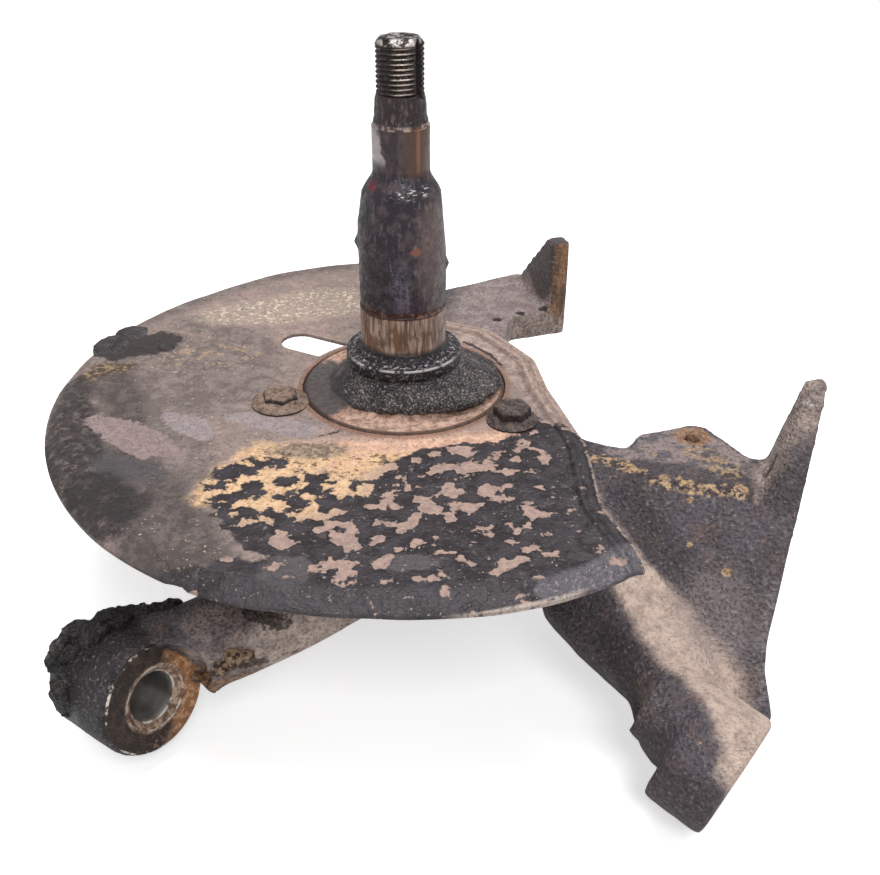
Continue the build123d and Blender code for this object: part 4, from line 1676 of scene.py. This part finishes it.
@dataclass
class EyeFace:
    """Machined face, chamfered mouth and taper bore of the steering eye."""

    centre: Point = EYE_CENTRE
    axis: Point = EYE_AXIS
    face_radius: float = 20.9
    mouth: float = 11.8
    bore: float = 9.35

    def build(self) -> bpy.types.Object:
        """Makes the lining.

        Returns:
            The piece.
        """
        profile = [
            (self.face_radius, -1.5), (self.face_radius, -0.1), (self.face_radius - 0.4, 0.22), (16, 0.26),
            (self.mouth + 0.5, 0.24), (self.mouth, 0), (self.bore + 0.1, -2), (self.bore, -2.6),
            (7.25, -35.8), (8.6, -35.8), (10.6, -2.9), (12.6, -1.2), (self.face_radius, -1.5)
        ]
        piece = Bench.spun("eye_face", profile, 96)
        direction = Vector(self.axis).normalized()
        turn = Vector((0, 0, 1)).rotation_difference(direction).to_matrix().to_4x4()
        piece.data.transform(Matrix.Translation(Vector(self.centre) * MM) @ turn)
        Bench.smooth(piece, 30)
        return piece


@dataclass
class Lumps:
    """A clot of grease or scale, built up from blobs."""

    name: str
    blobs: tuple[tuple[Point, Point], ...]
    grain_size: float = 0.9
    rough: float = 1.2

    def build(self) -> bpy.types.Object:
        """Makes the clot.

        Returns:
            The piece.
        """
        piece = Bench.join(*[Bench.blob(centre, reach) for centre, reach in self.blobs])
        piece.name = self.name
        Bench.apply(piece, "REMESH", mode="VOXEL", voxel_size=self.grain_size * MM)

        def torn(place: Vector) -> Vector:
            """Tears the surface.

            Args:
                place: a point in millimetres.

            Returns:
                Where it goes.
            """
            push = Vector((ripple(place, 4), ripple(place, 4, 3), ripple(place, 4, 6)))
            fine = Vector((ripple(place, 1.6, 1), ripple(place, 1.6, 4), ripple(place, 1.6, 7)))
            return place + push * self.rough + fine * self.rough * 0.5

        Bench.shape(piece, torn)
        Bench.smooth(piece, 80)
        return piece


# ---------------------------------------------------------------- the setting


@dataclass
class Studio:
    """Floor, soft lamps, world and camera."""

    floor_height: float = -91.63
    lens: float = 44.08
    camera_place: Point = (0, -0.403453, 0.215921)
    yaw: float = 0.037912
    pitch: float = 0.542873
    roll: float = 0.005693

    def build(self) -> None:
        """Makes the setting."""
        self.floor()
        self.lamps()
        self.world()
        self.camera()

    def floor(self) -> None:
        """Pale floor that shows white to the camera and keeps the shadow."""
        bpy.ops.mesh.primitive_plane_add(size=6, location=(0, 0, self.floor_height * MM))
        floor = bpy.context.object
        floor.name = "floor"
        floor.data.transform(floor.matrix_world)
        floor.matrix_world = Matrix.Identity(4)
        material = bpy.data.materials.new("pale_floor")
        material.use_nodes = True
        shader = material.node_tree.nodes["Principled BSDF"]
        shader.inputs["Base Color"].default_value = (0.9, 0.9, 0.9, 1)
        shader.inputs["Roughness"].default_value = 0.9
        shader.inputs["Emission Color"].default_value = (1, 1, 1, 1)
        seen = material.node_tree.nodes.new("ShaderNodeLightPath")
        glow = material.node_tree.nodes.new("ShaderNodeMath")
        glow.operation = "MULTIPLY"
        glow.inputs[1].default_value = 0.55
        material.node_tree.links.new(seen.outputs["Is Camera Ray"], glow.inputs[0])
        material.node_tree.links.new(glow.outputs[0], shader.inputs["Emission Strength"])
        floor.data.materials.append(material)

    def lamps(self) -> None:
        """Large soft lamps: above, left front and right back."""
        for name, place, size, power in (
            ("lamp_top", (0.1, 0.1, 1.4), 0.8, 15.5), ("lamp_front", (0.2, -1, 1), 0.45, 7),
            ("lamp_left", (-1.2, 0.1, 0.8), 1, 2.5), ("lamp_right", (1.2, 0.5, 0.8), 1, 2.5)
        ):
            data = bpy.data.lights.new(name, "AREA")
            data.size = size
            data.energy = power
            lamp = bpy.data.objects.new(name, data)
            bpy.context.scene.collection.objects.link(lamp)
            lamp.location = place
            lamp.rotation_euler = (-Vector(place)).to_track_quat("-Z", "Y").to_euler()

    def world(self) -> None:
        """White world, brighter to the camera than to the object."""
        world = bpy.data.worlds.new("studio")
        bpy.context.scene.world = world
        world.use_nodes = True
        tree = world.node_tree
        tree.nodes.clear()
        names = ("OutputWorld", "Background", "Background", "LightPath", "MixShader")
        out, seen, soft, path, mix = (tree.nodes.new("ShaderNode" + name) for name in names)
        seen.inputs["Strength"].default_value = 1
        soft.inputs["Strength"].default_value = 0.42
        tree.links.new(path.outputs["Is Camera Ray"], mix.inputs[0])
        tree.links.new(soft.outputs[0], mix.inputs[1])
        tree.links.new(seen.outputs[0], mix.inputs[2])
        tree.links.new(mix.outputs[0], out.inputs["Surface"])

    def camera(self) -> None:
        """Camera above the front, looking down at the hub."""
        data = bpy.data.cameras.new("camera")
        data.lens = self.lens
        data.sensor_width = 36
        data.sensor_fit = "HORIZONTAL"
        data.clip_start = 0.01
        camera = bpy.data.objects.new("camera", data)
        bpy.context.scene.collection.objects.link(camera)
        ahead = Vector(
            (
                math.sin(self.yaw) * math.cos(self.pitch), math.cos(self.yaw) * math.cos(self.pitch),
                -math.sin(self.pitch)
            )
        )
        right = Vector((math.cos(self.yaw), -math.sin(self.yaw), 0))
        up = right.cross(ahead)
        right, up = (
            right * math.cos(self.roll) + up * math.sin(self.roll),
            up * math.cos(self.roll) - right * math.sin(self.roll)
        )
        turn = Matrix((right, up, -ahead)).transposed().to_4x4()
        camera.matrix_world = Matrix.Translation(self.camera_place) @ turn
        bpy.context.scene.camera = camera


def main() -> None:
    """Builds every piece in order."""
    logging.basicConfig(level=logging.INFO, format="%(name)s: %(message)s")
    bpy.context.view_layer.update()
    bpy.context.scene.view_settings.view_transform = "Standard"
    Studio().build()
    Bench.fit(Forging().build(), ForgedSteel(), Slot.FORGING, Node.KNUCKLE)
    Bench.fit(Spindle().build(), SpindleSteel(), Slot.FORGING, Node.KNUCKLE)
    Bench.fit(GreaseCake().build(), OldGrease("flange_grease"), Slot.FORGING)
    Bench.fit(DustShield().build(), FlakedPaint(), Slot.SHEET, Node.SHIELD)
    Bench.fit(ShieldScrews().build(), BoltSteel(), Slot.BOLT, Node.BOLTS)
    Bench.fit(EyeFace().build(), MachinedEye(), Slot.FORGING)
    eye_grease = Lumps(
        "eye_grease",
        (
            ((-122.8, -107.5, -55), (7, 7, 10)), ((-121, -115.5, -63), (6.5, 6.5, 10)),
            ((-118.5, -102.5, -49.5), (7.5, 7, 7.5)), ((-113, -104, -46), (7, 7, 5.5)),
            ((-107, -96.5, -47), (8.5, 6, 6)), ((-98, -93.5, -46.5), (8, 5, 4.5)),
            ((-89, -92.5, -44.5), (7, 4, 3.6)), ((-111, -121.5, -70), (5, 4, 7))
        ),
        0.7, 1.7
    )
    rust_lump = Lumps(
        "rust_lump",
        (
            ((-61, -116.2, -46.2), (4, 2.8, 3.2)), ((-66, -117.6, -50.8), (3.2, 2.2, 2.4)),
            ((-56.8, -115.2, -47.2), (2.6, 2.2, 2.4))
        ),
        0.5, 0.9
    )
    Bench.fit(rust_lump.build(), RustScale(), Slot.FORGING)
    Bench.fit(
        eye_grease.build(),
        OldGrease("eye_clot", dusty=0.14, black=(0.007, 0.006, 0.006), cake=(0.026, 0.021, 0.02)),
        Slot.FORGING
    )
    rim_tar = Lumps(
        "rim_tar",
        (
            ((-132, 42, -2.4), (9, 12, 1.7)), ((-126, 54, -2.4), (8, 10, 1.6)),
            ((-107, 38.5, -1.6), (4, 3, 1.1))
        ),
        0.7, 0.5
    )
    Bench.fit(rim_tar.build(), OldGrease("rim_tar", dusty=0.26, black=(0.028, 0.023, 0.024)), Slot.SHEET)


if __name__ == "__main__":
    main()
